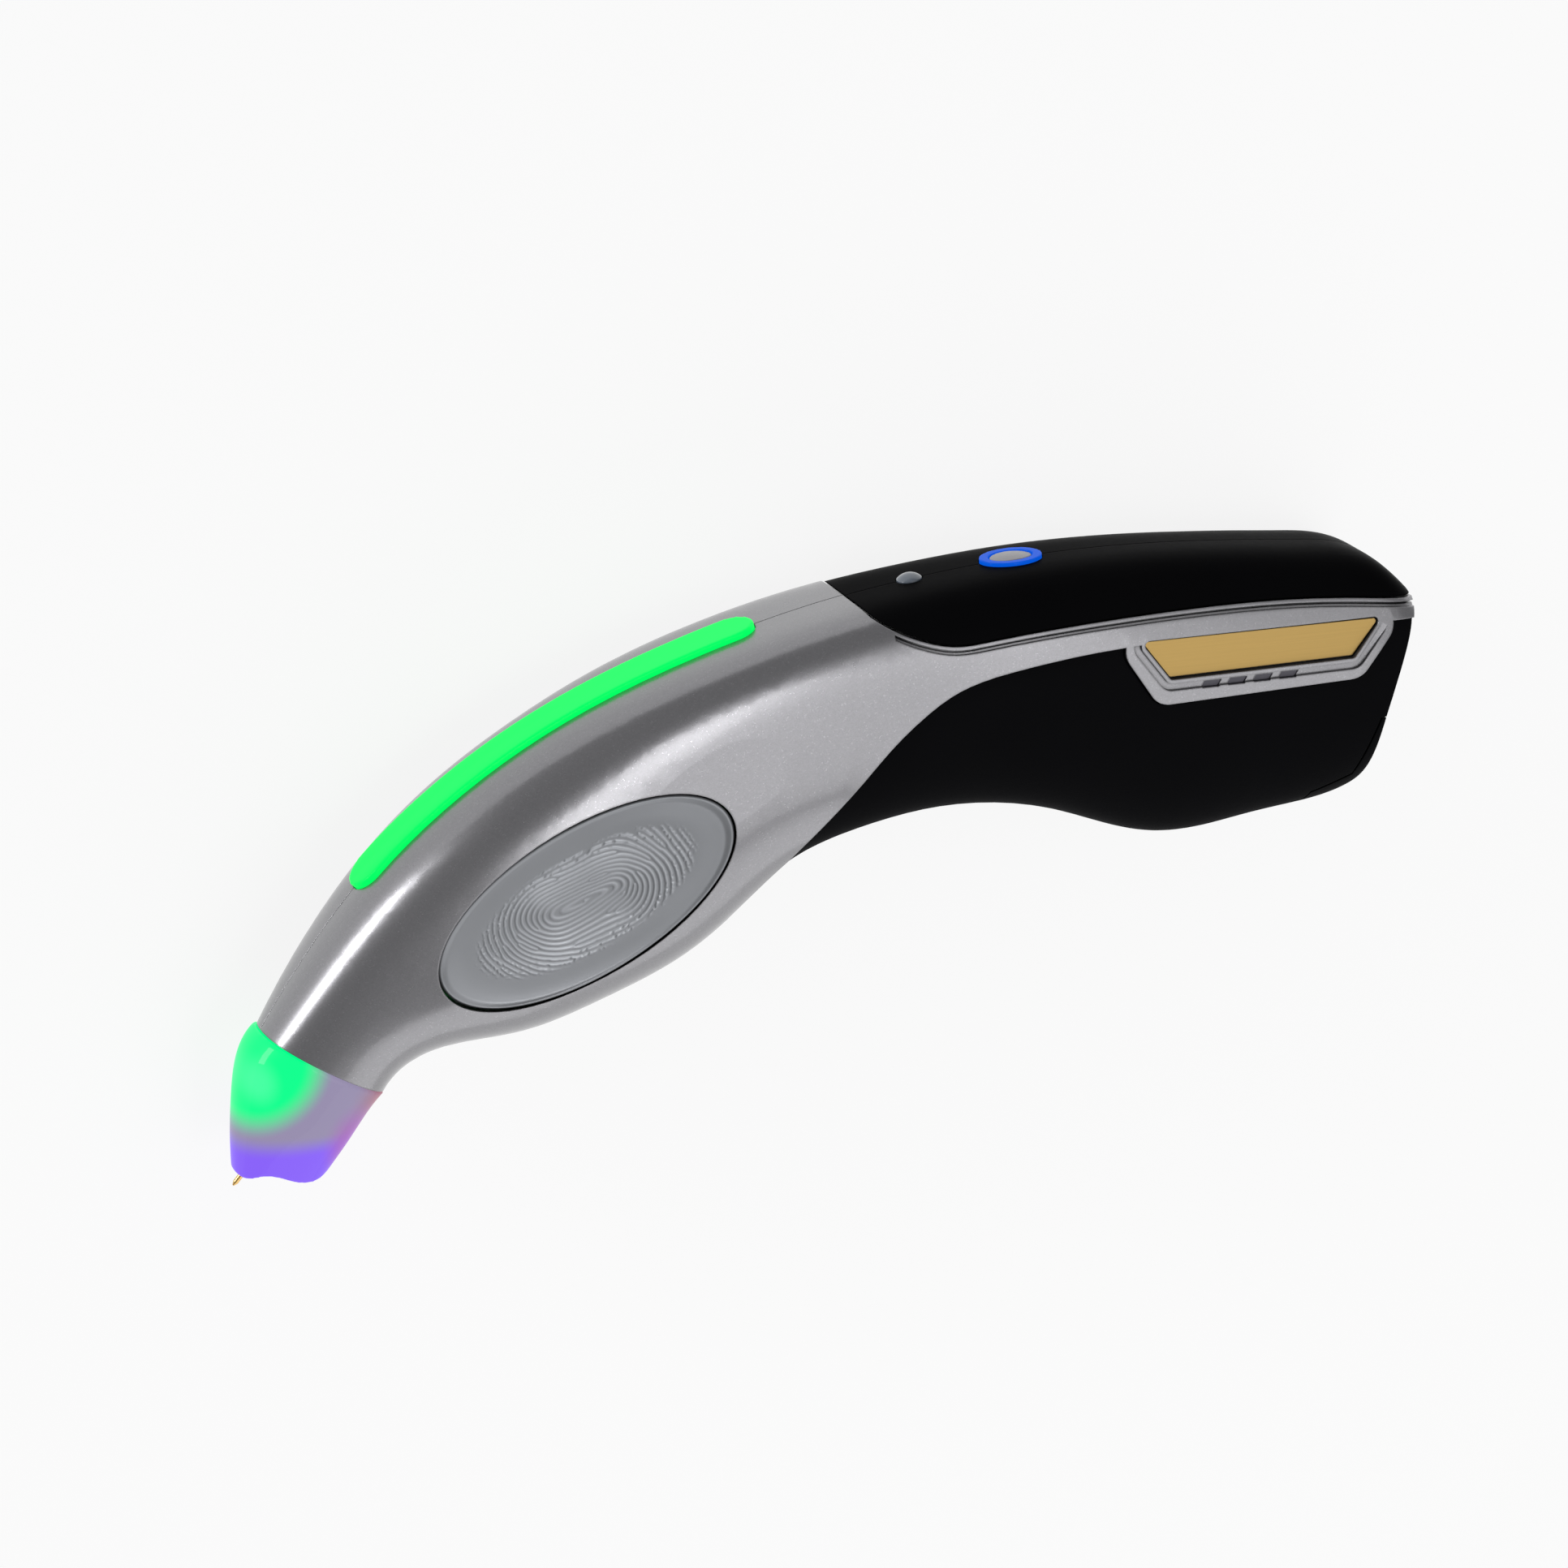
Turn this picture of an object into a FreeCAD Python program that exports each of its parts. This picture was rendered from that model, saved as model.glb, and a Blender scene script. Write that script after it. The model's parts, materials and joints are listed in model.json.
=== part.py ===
import FreeCAD, Part
import math
import os

# Hand-held electronic gold tester, lying on its right side.
# X runs from the nose to the rear of the handle, Y from the belly to the crest,
# Z from the right side to the left side. Lengths are in millimetres.

V = FreeCAD.Vector
ACROSS = V(0, 0, 1)

# Overall sizes
tool_length = 158.0
tool_height = 73.0
case_width = 25.5

# Casing
shell_wall = 2.0
seam_gap = 0.12
panel_gap = 0.18
cover_sink = 0.15
grip_sink = 0.5
inner_clearance = 0.35
cut_overrun = 30.0
join_tolerance = 0.0001

# Groove along the rail under the top cover
rail_edge = 0.4
rail_groove_width = 0.65
rail_groove_depth = 0.3
rail_channel_width = 0.35
rail_channel_depth = 0.6

# Bezel, nameplate and slots
bezel_corner = 3.0
plate_corner = 0.4
plate_thickness = 0.6
plate_sink = 0.7
plate_gap = 0.25
ridge_width = 0.75
ridge_groove_width = 0.95
ridge_groove_depth = 0.45
slot_length = 2.4
slot_height = 0.8
slot_skew = 0.45
slot_pitch = 3.6
slot_depth = 1.1
slot_drop = 1.35
slot_count = 4
insert_thickness = 0.5

# Light bar and its lamps
bar_width = 6.5
bar_proud = 0.8
bar_depth = 2.6
bar_gap = 0.12
bar_board_width = 5.0
bar_board_depth = 3.5
bar_board_thickness = 0.7
bar_overrun = 5.0
bar_lamp_count = 9
bar_lamp_length = 2.0
bar_lamp_width = 1.6

# Power ring, button, switch and indicator
ring_length = 8.2
ring_width = 6.7
ring_band = 1.15
ring_proud = 0.3
ring_flange = 0.8
ring_flange_thickness = 0.6
button_gap = 0.15
button_proud = 0.15
button_dome = 0.25
button_flange = 0.7
button_travel = 0.4
stem_radius = 0.9
stem_length = 0.7
plunger_radius = 0.75
plunger_gap = 0.12
plunger_length = 1.1
switch_side = 6.0
switch_thickness = 2.1
button_board_thickness = 0.8
button_board_front = 15.5
button_board_rear = 11.5
indicator_radius = 1.65
indicator_dome = 0.7
indicator_gap = 0.1
indicator_flange = 0.6
lamp_side = 1.6
lamp_height = 0.8
lamp_spacing = 0.4
lamp_seat_gap = 0.05

# Finger pads
pad_length = 41.8
pad_width = 21.0
pad_turn = 27.3
pad_gap = 0.2
pad_sink = 0.05
pad_flange = 1.2
pad_thickness = 3.4
pad_rim = 0.6
pad_dish_depth = 0.9
pad_dish_lift_share = 0.6
pad_dish_drop = 1.15
pad_roll = 4.9
pad_pitch = 1.8

# Nose
nose_gap = 0.15
nose_flare = 0.45
nose_wall = 1.6
nose_lip_length = 2.2
nose_lip_wall = 1.0
nose_lip_gap = 0.2
nose_bore_reach = 4.0
nose_rim_share = 0.1
tip_wall = 1.6
core_thickness = 2.0
core_lift = 0.5
core_gap = 0.15
nose_board_thickness = 1.0
nose_lamp_row_share = 0.776
nose_lamp_lift = 2.6
contact_radius = 0.45
contact_length = 2.9
contact_proud = 0.3
contact_gap = 0.05

# Probe
pin_radius = 0.35
pin_gap = 0.13
pin_point = 0.5
pin_point_radius = 0.12
pin_length = 13.0
collar_radius = 1.0
collar_length = 1.6
sleeve_start = 5.8
sleeve_length = 5.2
sleeve_radius = 1.05
barrel_start = 11.2
barrel_length = 12.0
barrel_radius = 1.6
barrel_wall = 0.4
barrel_cap = 0.8
spring_radius = 0.95
spring_bore = 0.6
spring_gap = 0.05

# Case screws
screw_shaft_radius = 0.95
screw_head_radius = 2.0
screw_head_height = 1.4
screw_bite = 5.3
screw_depth = 3.4
screw_slot_length = 2.4
screw_slot_width = 0.5
screw_slot_depth = 0.6
boss_radius = 3.3
boss_radius_left = 2.4
boss_gap = 0.05
pilot_gap = 0.1
recess_gap = 0.3

# Main board and what it carries
board_thickness = 1.2
board_inset = 5.6
chip_sizes = ((9.0, 7.0), (6.0, 5.0), (4.0, 3.0))
chip_height = 1.3
buzzer_radius = 4.2
buzzer_height = 3.0
finger_radius = 0.8
part_gap = 0.05

# Battery cells, tray, contacts and door
cell_radius = 5.25
cell_length = 43.2
cell_nub_radius = 1.9
cell_nub_length = 1.2
cell_between = 0.5
cell_gap = 0.15
cell_stagger = 4.3
tray_wall = 0.65
tray_end = 0.9
tray_window = 3.2
contact_plate_radius = 3.4
contact_plate_top = 1.6
contact_plate_length = 1.0
door_post_radius = 2.2
door_plate_half_width = 8.0
door_gap = 0.18
rear_wall_share = 0.012
rear_wall = 1.6

# Cross-sections of the body from the nose joint to the rear face. Each row is the
# place along the body, the crest and the belly as shares of the length and height,
# the half width as a share of the case width, and how square the upper and lower
# halves of the section are.
section_shares = (
    (0.00, 0.027, 0.290, 0.124, 0.163, 0.298, 2.4, 2.2),
    (0.06, 0.065, 0.413, 0.166, 0.229, 0.372, 2.8, 2.2),
    (0.13, 0.116, 0.548, 0.231, 0.242, 0.446, 3.1, 2.3),
    (0.21, 0.180, 0.669, 0.303, 0.284, 0.493, 3.5, 2.3),
    (0.30, 0.257, 0.773, 0.379, 0.360, 0.501, 3.9, 2.5),
    (0.40, 0.356, 0.864, 0.449, 0.479, 0.502, 5.0, 2.6),
    (0.50, 0.472, 0.936, 0.515, 0.540, 0.493, 5.2, 2.9),
    (0.60, 0.581, 0.976, 0.599, 0.562, 0.483, 4.7, 2.9),
    (0.70, 0.681, 0.995, 0.692, 0.529, 0.499, 4.2, 3.0),
    (0.80, 0.779, 0.996, 0.786, 0.468, 0.503, 3.9, 3.0),
    (0.88, 0.857, 0.986, 0.863, 0.485, 0.504, 3.7, 3.0),
    (0.94, 0.923, 0.973, 0.906, 0.499, 0.502, 3.7, 3.2),
    (0.97, 0.962, 0.956, 0.945, 0.519, 0.496, 3.7, 3.1),
    (1.00, 0.994, 0.900, 0.948, 0.555, 0.484, 3.9, 2.8),
)

# Cross-sections of the nose below the joint, in the same form
nose_shares = (
    (0.23, 0.008, 0.236, 0.109, 0.122, 0.282, 2.2, 2.2),
    (0.44, 0.003, 0.168, 0.096, 0.081, 0.251, 2.2, 2.2),
    (0.65, 0.001, 0.099, 0.082, 0.040, 0.204, 2.3, 2.3),
    (0.83, 0.001, 0.042, 0.069, 0.001, 0.157, 2.4, 2.4),
    (1.00, 0.002, -0.007, 0.057, -0.040, 0.125, 2.5, 2.5),
)
nose_top_width_share = 0.306
nose_top_square = 2.3

# Outlines in side view, as shares of the length and height
tip_shares = (
    (-0.016, 0.072), (-0.001, 0.046), (0.007, 0.035), (0.017, 0.040), (0.026, 0.041),
    (0.035, 0.035), (0.044, 0.026), (0.055, 0.019), (0.066, 0.019), (0.074, 0.027),
    (0.086, 0.050), (0.106, 0.106),
)
cover_line_shares = (
    (0.517, 0.947), (0.532, 0.927), (0.557, 0.904), (0.584, 0.891), (0.611, 0.894),
    (0.667, 0.905), (0.780, 0.915), (0.897, 0.910), (0.992, 0.886), (1.035, 0.870),
)
cover_front_share = (0.490, 1.028)
grip_line_shares = (
    (0.448, 0.527), (0.476, 0.600), (0.502, 0.662), (0.528, 0.722), (0.556, 0.773),
    (0.582, 0.808), (0.611, 0.829), (0.638, 0.840), (0.694, 0.856), (0.750, 0.863),
    (0.877, 0.863), (0.987, 0.855), (1.035, 0.849),
)
grip_start_share = (0.402, 0.425)
bezel_shares = ((0.710, 0.895), (0.757, 0.749), (0.9375, 0.760), (0.986, 0.895))
plate_shares = ((0.743, 0.865), (0.768, 0.797), (0.930, 0.801), (0.953, 0.865))
hatch_shares = ((0.896, 0.480), (0.904, 0.544), (0.939, 0.573), (0.959, 0.679), (1.040, 0.679))
hatch_floor_share = 0.400

# Places of the smaller pieces, as shares of the length and height
pad_share = (0.275, 0.505)
slot_share = (0.804, 0.797)
screw_shares = (
    (0.108, 0.325), (0.386, 0.774), (0.438, 0.599), (0.525, 0.812), (0.820, 0.527),
)
shell_screw_count = 4
front_screw_share = 0.671
tip_share = (0.001, 0.012)
aim_share = (0.076, 0.199)
contact_share = (0.039, 0.031)
chip_shares = ((0.215, 0.515), (0.335, 0.690), (0.400, 0.690))
buzzer_share = (0.455, 0.790)
lower_cell_rear_share = (0.923, 0.660)

# Places along the body, as in the first column of the sections
bar_place_shares = (0.136, 0.455)
bar_board_end_share = 0.01
button_place_share = 0.678
indicator_place_share = 0.591
board_place_shares = (0.17, 0.52)
ring_steps = 36
loft_steps = 30


def at(share, across=0.0):
    """Point from shares of the length and height."""
    return V(share[0] * tool_length, share[1] * tool_height, across)


def fair_curve(places, points):
    """Smooth curve that reaches each point at its place."""
    curve = Part.BSplineCurve()
    curve.interpolate(Points=points, Parameters=places)
    return curve


class Loft:
    """Smooth body through superellipse sections, symmetric about the mid-plane."""

    def __init__(self, sections):
        places = [section[0] for section in sections]
        self.crest = fair_curve(places, [section[1] for section in sections])
        self.belly = fair_curve(places, [section[2] for section in sections])
        self.form = fair_curve(places, [V(*section[3]) for section in sections])

    def ring(self, place, inset):
        """Points around one section, from the belly over the left side and back."""
        crest, belly, form = self.crest.value(place), self.belly.value(place), self.form.value(place)
        middle = (crest + belly) * 0.5
        half_height = (crest - belly).Length / 2 - inset
        half_width = form.x - inset
        upward = (crest - belly).normalize()
        points = []
        for step in range(ring_steps + 1):
            angle = math.tau * step / ring_steps - math.pi / 2
            power = form.y if math.sin(angle) > 0 else form.z
            rise = superellipse(math.sin(angle), power)
            side = superellipse(math.cos(angle), power)
            points.append(middle + upward * (half_height * rise) + ACROSS * (half_width * side))
        return points

    def half(self, inset, start=0.0, stop=1.0):
        """Left half as a solid, its skin set in from the outer surface."""
        stations = [start + (stop - start) * step / (loft_steps - 1) for step in range(loft_steps)]
        rings = [self.ring(station, inset) for station in stations]
        surface = Part.BSplineSurface()
        surface.interpolate(rings)
        first, last, belly, full_turn = surface.bounds()
        surface.segment(first, last, belly, (belly + full_turn) / 2)
        skin = surface.toShape()
        lines, caps, rims = [], [], []
        for ring in (rings[0], rings[-1]):
            rim = min(skin.Edges, key=lambda edge: edge_distance(edge, ring[ring_steps // 4]))
            line = Part.makeLine(ring[0], ring[ring_steps // 2])
            caps.append(Part.Face(Part.Wire([rim, line])))
            lines.append(line)
            rims.append(rim)
        seams = [edge for edge in skin.Edges if not any(edge.isSame(rim) for rim in rims)]
        middle = Part.Face(Part.Wire([seams[0], lines[0], seams[1], lines[1]]))
        return closed_solid([skin, middle] + caps)

    def full(self, inset, start=0.0, stop=1.0):
        """Both halves joined."""
        half = self.half(inset, start, stop)
        return half.fuse(mirrored(half)).removeSplitter()

    def frame(self, place):
        """Point on the crest, its direction towards the rear, and its outward normal."""
        point = self.crest.value(place)
        direction = self.crest.tangent(place)[0]
        return point, direction, ACROSS.cross(direction)


def superellipse(value, power):
    """Unit superellipse coordinate for a sine or cosine."""
    if abs(value) < join_tolerance:
        return 0.0
    return math.copysign(abs(value) ** (2 / power), value)


def edge_distance(edge, point):
    """Distance from a point to an edge."""
    return edge.distToShape(Part.Vertex(point))[0]


def closed_solid(faces):
    """Solid from faces that meet along their edges."""
    shell = Part.Shell(faces)
    shell.sewShape()
    solid = Part.Solid(shell)
    solid.fix(join_tolerance, join_tolerance, join_tolerance)
    return solid


def mirrored(shape):
    """Copy on the other side of the mid-plane."""
    return shape.mirror(V(0, 0, 0), ACROSS)


def polygon_face(points):
    """Flat face inside straight edges."""
    return Part.Face(Part.makePolygon(list(points) + [points[0]]))


def rounded_polygon(points, radius):
    """Flat face with round corners."""
    edges, starts, ends = [], [], []
    count = len(points)
    for index, corner in enumerate(points):
        back = (points[index - 1] - corner).normalize()
        onward = (points[(index + 1) % count] - corner).normalize()
        half_angle = back.getAngle(onward) / 2
        reach = radius / math.tan(half_angle)
        bisector = (back + onward).normalize()
        middle = corner + bisector * (radius / math.sin(half_angle) - radius)
        starts.append(corner + back * reach)
        ends.append(corner + onward * reach)
        edges.append(Part.Arc(starts[-1], middle, ends[-1]).toShape())
    for index in range(count):
        edges.append(Part.makeLine(ends[index], starts[(index + 1) % count]))
    return Part.Face(Part.Wire(Part.__sortEdges__(edges)))


def prism(face, low, high):
    """Face extruded across the tool between two heights."""
    return face.translated(ACROSS * low).extrude(ACROSS * (high - low))


def through(face):
    """Face extruded right across the tool and beyond."""
    return prism(face, -cut_overrun, cut_overrun)


def rod(start, direction, length, radius):
    """Round bar."""
    return Part.makeCylinder(radius, length, start, direction)


def tube(start, direction, length, radius, bore):
    """Round tube."""
    return rod(start, direction, length, radius).cut(rod(start, direction, length, bore))


def ellipse_prism(frame, length, width, low, high):
    """Elliptical bar along a frame's normal, between two heights."""
    point, direction, normal = frame
    major, minor = max(length, width), min(length, width)
    long_way = direction if length >= width else ACROSS
    ellipse = Part.Ellipse(V(major / 2, 0, 0), V(0, minor / 2, 0), V(0, 0, 0))
    face = Part.Face(Part.Wire(ellipse.toShape()))
    solid = face.extrude(ACROSS * (high - low))
    short_way = normal.cross(long_way)
    turn = FreeCAD.Matrix(long_way.x, short_way.x, normal.x, 0,
                          long_way.y, short_way.y, normal.y, 0,
                          long_way.z, short_way.z, normal.z, 0, 0, 0, 0, 1)
    solid.transformShape(turn)
    return solid.translated(point + normal * low)


def frame_box(frame, front, rear, low, high, width):
    """Block in a frame: along its direction, between two heights, centred across."""
    point, direction, normal = frame
    corners = [point + direction * along + normal * height
               for along, height in ((-front, low), (rear, low), (rear, high), (-front, high))]
    return prism(polygon_face(corners), -width / 2, width / 2)


def shifted_frame(frame, along):
    """Frame moved along its own direction."""
    return frame[0] + frame[1] * along, frame[1], frame[2]


def body_sections():
    return [(row[0], at(row[1:3]), at(row[3:5]), (row[5] * case_width, row[6], row[7]))
            for row in section_shares]


def nose_sections(body):
    """Nose rows, the first one set off from the body's joint plane."""
    inward, upward = joint_frame(body)[1:]
    gap = inward * nose_gap
    top = (0.0, body.crest.value(0) + upward * nose_flare - gap, body.belly.value(0) - gap,
           (nose_top_width_share * case_width, nose_top_square, nose_top_square))
    rest = [(row[0], at(row[1:3]), at(row[3:5]), (row[5] * case_width, row[6], row[7]))
            for row in nose_shares]
    return [top] + rest


def smooth_line(shares, shift):
    """Smooth edge through an outline's shares, moved as a whole."""
    curve = Part.BSplineCurve()
    curve.interpolate(Points=[at(share) + shift for share in shares])
    return curve.toShape()


def end_points(edge):
    return edge.valueAt(edge.FirstParameter), edge.valueAt(edge.LastParameter)


def cover_face(gap):
    """Side view of the top cover: everything above its lower edge."""
    shift = V(gap, gap, 0)
    line = smooth_line(cover_line_shares, shift)
    first, last = end_points(line)
    front = at(cover_front_share) + shift
    roof = V(0, cut_overrun, 0)
    return closed_face([Part.makeLine(front, first), line], [last, last + roof, front + roof, front])


def grip_face(gap):
    """Side view of the grip: everything below its upper edge."""
    shift = V(gap, -gap, 0)
    line = smooth_line(grip_line_shares, shift)
    first, last = end_points(line)
    front = at(grip_start_share) + shift
    floor = V(0, -tool_height, 0)
    return closed_face([Part.makeLine(front, first), line], [last, last + floor, front + floor, front])


def closed_face(edges, points):
    """Face inside some edges and the straight lines that close them."""
    sides = [Part.makeLine(start, end) for start, end in zip(points[:-1], points[1:])]
    return Part.Face(Part.Wire(Part.__sortEdges__(edges + sides)))


def bezel_face():
    return rounded_polygon([at(share) for share in bezel_shares], bezel_corner)


def plate_face(grow=0.0):
    """Nameplate outline, grown evenly."""
    face = rounded_polygon([at(share) for share in plate_shares], plate_corner)
    return face.makeOffset2D(grow) if grow else face


def slot_faces(grow=0.0):
    """Slanted slots in the bezel's groove, in a row along the plate's lower edge."""
    along = (at(plate_shares[2]) - at(plate_shares[1])).normalize()
    faces = []
    for index in range(slot_count):
        centre = at(slot_share) + along * (index * slot_pitch) - V(0, slot_drop, 0)
        length, height = slot_length / 2 + grow, slot_height / 2 + grow
        faces.append(polygon_face([
            centre + V(-length - slot_skew / 2, -height, 0), centre + V(length - slot_skew / 2, -height, 0),
            centre + V(length + slot_skew / 2, height, 0), centre + V(-length + slot_skew / 2, height, 0)]))
    return faces


def pad_face(grow):
    """Finger pad's ellipse in side view."""
    ellipse = Part.Ellipse(V(0, 0, 0), pad_length / 2 + grow, pad_width / 2 + grow)
    face = Part.Face(Part.Wire(ellipse.toShape()))
    face.rotate(V(0, 0, 0), ACROSS, pad_turn)
    return face.translated(at(pad_share))


def hatch_face(gap):
    """Side view of the battery door's corner."""
    points = [at(share) + V(gap, -gap, 0) for share in hatch_shares]
    floor = hatch_floor_share * tool_height
    return polygon_face([V(points[0].x, floor, 0)] + points + [V(points[-1].x, floor, 0)])


def hatch_window(gap):
    """Opening for the door's plate in the rear face, up to the top cover."""
    low = at(hatch_shares[3]).y - cut_overrun
    high = at(cover_line_shares[-2]).y - gap
    half = door_plate_half_width - gap
    front = at(hatch_shares[2]).x + gap
    return Part.makeBox(cut_overrun, high - low, 2 * half, V(front, low, -half))


def bar_zone(body, gap):
    """Round-ended strip along the crest, through the casing's thickness."""
    half = bar_width / 2 + gap
    deep = bar_depth + bar_overrun
    strip = prism(crest_band(body, -bar_overrun, deep), -half, half)
    ends = []
    for place in bar_place_shares:
        point, normal = body.frame(place)[::2]
        ends.append(rod(point - normal * deep, normal, deep + bar_overrun, half))
    return strip.fuse(ends)


def light_bar(body):
    outer = body.full(-bar_proud).cut(body.full(bar_depth))
    return outer.common(bar_zone(body, 0.0))


def bar_board(body):
    strip = body.full(bar_board_depth, *bar_board_span())
    strip = strip.cut(body.full(bar_board_depth + bar_board_thickness))
    slab = Part.makeBox(tool_length, tool_height, bar_board_width, V(0, 0, -bar_board_width / 2))
    above = crest_band(body, bar_depth, bar_board_depth + bar_board_thickness * 2)
    return strip.common(slab).common(through(above))


def bar_board_span():
    """Places of the board's ends, a little beyond the light bar's."""
    return bar_place_shares[0] - bar_board_end_share, bar_place_shares[1] + bar_board_end_share


def crest_band(body, shallow, deep):
    """Side view of a strip that follows the crest between two depths."""
    first, last = bar_place_shares
    steps = bar_lamp_count * 2
    frames = [body.frame(first + (last - first) * step / steps) for step in range(steps + 1)]
    upper = [point - normal * shallow for point, direction, normal in frames]
    lower = [point - normal * deep for point, direction, normal in reversed(frames)]
    return polygon_face(upper + lower)


def bar_lamps(body):
    """Row of lamps on the curved board, under the light bar."""
    first, last = bar_place_shares
    low, high = -bar_board_depth + lamp_seat_gap, -bar_depth - lamp_seat_gap
    lamps = []
    for index in range(bar_lamp_count):
        frame = body.frame(first + (last - first) * (index + 0.5) / bar_lamp_count)
        half = bar_lamp_length / 2
        lamps.append(frame_box(frame, half, half, low, high, bar_lamp_width))
    return Part.makeCompound(lamps)


def ring_sizes():
    """Inner length and width of the power ring."""
    return ring_length - 2 * ring_band, ring_width - 2 * ring_band


def ring_seat():
    """Depth of the underside of the top cover below the crest."""
    return shell_wall + inner_clearance / 2


def power_ring(frame):
    seat = ring_seat()
    inner_length, inner_width = ring_sizes()
    body = ellipse_prism(frame, ring_length, ring_width, -seat, ring_proud)
    flange = ellipse_prism(frame, ring_length + 2 * ring_flange, ring_width + 2 * ring_flange,
                           -seat - ring_flange_thickness, -seat)
    bore = ellipse_prism(frame, inner_length, inner_width, -cut_overrun, cut_overrun)
    return body.fuse(flange).cut(bore)


def button_levels():
    """Depths below the crest of the button's flange, stem and the switch's top."""
    flange_top = ring_seat() + ring_flange_thickness + part_gap
    flange_low = flange_top + ring_flange_thickness
    stem_low = flange_low + stem_length
    switch_top = stem_low + button_travel + part_gap
    return flange_top, flange_low, stem_low, switch_top


def power_button(frame):
    flange_top, flange_low, stem_low = button_levels()[:3]
    inner_length, inner_width = ring_sizes()
    length, width = inner_length - 2 * button_gap, inner_width - 2 * button_gap
    cap = ellipse_prism(frame, length, width, -flange_low, button_proud + button_dome)
    flange = ellipse_prism(frame, length + 2 * button_flange, width + 2 * button_flange,
                           -flange_low, -flange_top)
    point, normal = frame[::2]
    dome_radius = (length * length / 4 + button_dome * button_dome) / (2 * button_dome)
    dome = Part.makeSphere(dome_radius, point + normal * (button_proud + button_dome - dome_radius), normal)
    stem = rod(point - normal * stem_low, normal, stem_length, stem_radius)
    return cap.common(dome).fuse([flange, stem])


def switch_plunger(frame):
    stem_low = button_levels()[2]
    point, normal = frame[::2]
    return rod(point - normal * (stem_low + plunger_length), normal, plunger_length, plunger_radius)


def power_switch(frame):
    switch_top = button_levels()[3]
    half = switch_side / 2
    housing = frame_box(frame, half, half, -switch_top - switch_thickness, -switch_top, switch_side)
    point, normal = frame[::2]
    well = plunger_length + plunger_gap
    return housing.cut(rod(point - normal * (switch_top + well), normal, well + part_gap,
                           plunger_radius + plunger_gap))


def button_board(frame, room):
    top = button_levels()[3] + switch_thickness + part_gap
    board = frame_box(frame, button_board_front, button_board_rear,
                      -top - button_board_thickness, -top, case_width)
    return board.common(room)


def board_lamps(frame, indicator_frame):
    """Lamps of the power ring and of the indicator, on the button board."""
    top = button_levels()[3] + switch_thickness + part_gap - lamp_seat_gap
    point, direction = frame[:2]
    lamps = []
    for along in (-switch_side, switch_side):
        lamps.append(shifted_frame(frame, along))
    reach = (indicator_frame[0] - point).dot(direction)
    lamps.append(shifted_frame(frame, reach))
    half = lamp_side / 2
    return Part.makeCompound([frame_box(place, half, half, -top, -top + lamp_height, lamp_side)
                              for place in lamps])


def indicator_lens(frame):
    """Small domed lens with a flange under the cover."""
    point, normal = frame[::2]
    seat = ring_seat()
    radius = (indicator_radius ** 2 + indicator_dome ** 2) / (2 * indicator_dome)
    dome = Part.makeSphere(radius, point + normal * (indicator_dome - radius))
    stem = rod(point - normal * seat, normal, seat + indicator_dome, indicator_radius).common(
        dome.fuse(rod(point - normal * seat, normal, seat, indicator_radius)))
    flange = rod(point - normal * (seat + ring_flange_thickness), normal, ring_flange_thickness,
                 indicator_radius + indicator_flange)
    return stem.fuse(flange)


def dish():
    """Shallow scoop that hollows the finger pad."""
    lift = pad_dish_lift_share
    reach = math.sqrt(1 - lift * lift)
    deep = pad_dish_depth / (1 - lift)
    scale = FreeCAD.Matrix()
    scale.scale(V((pad_length / 2 - pad_rim) / reach, (pad_width / 2 - pad_rim) / reach, deep))
    ball = Part.makeSphere(1).transformGeometry(scale)
    ball.rotate(V(0, 0, 0), ACROSS, pad_turn)
    ball.rotate(V(0, 0, 0), V(1, 0, 0), pad_roll)
    ball.rotate(V(0, 0, 0), V(0, 1, 0), -pad_pitch)
    return ball.translated(at(pad_share, case_width / 2 - pad_dish_drop + deep * lift))


def finger_pad(body):
    """Left finger pad, with a flange behind the shell's opening."""
    core = body.half(pad_thickness)
    disc = body.half(pad_sink).common(left_side()).cut(core).common(prism(pad_face(-pad_gap), 0.0, case_width))
    behind = body.half(shell_wall + part_gap).cut(core)
    flange = behind.common(prism(pad_face(pad_flange), 0.0, case_width))
    return disc.fuse(flange).cut(dish())


def groove_tool(body, width, depth):
    """Groove's volume: the strip below the rail's lip, down to its depth."""
    top = smooth_line(cover_line_shares[1:], V(0, -rail_edge, 0))
    low = smooth_line(cover_line_shares[1:], V(0, -rail_edge - width, 0))
    sides = [Part.makeLine(end_points(top)[index], end_points(low)[index]) for index in (0, 1)]
    face = Part.Face(Part.Wire(Part.__sortEdges__([top, low] + sides)))
    return prism(face, 0.0, cut_overrun).cut(body.half(depth))


def left_side():
    """Box over the left half, from the seam gap out to the flat of the flank."""
    span = tool_length + 2 * cut_overrun
    return Part.makeBox(span, span, case_width / 2 - seam_gap / 2, V(-cut_overrun, -cut_overrun, seam_gap / 2))


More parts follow.
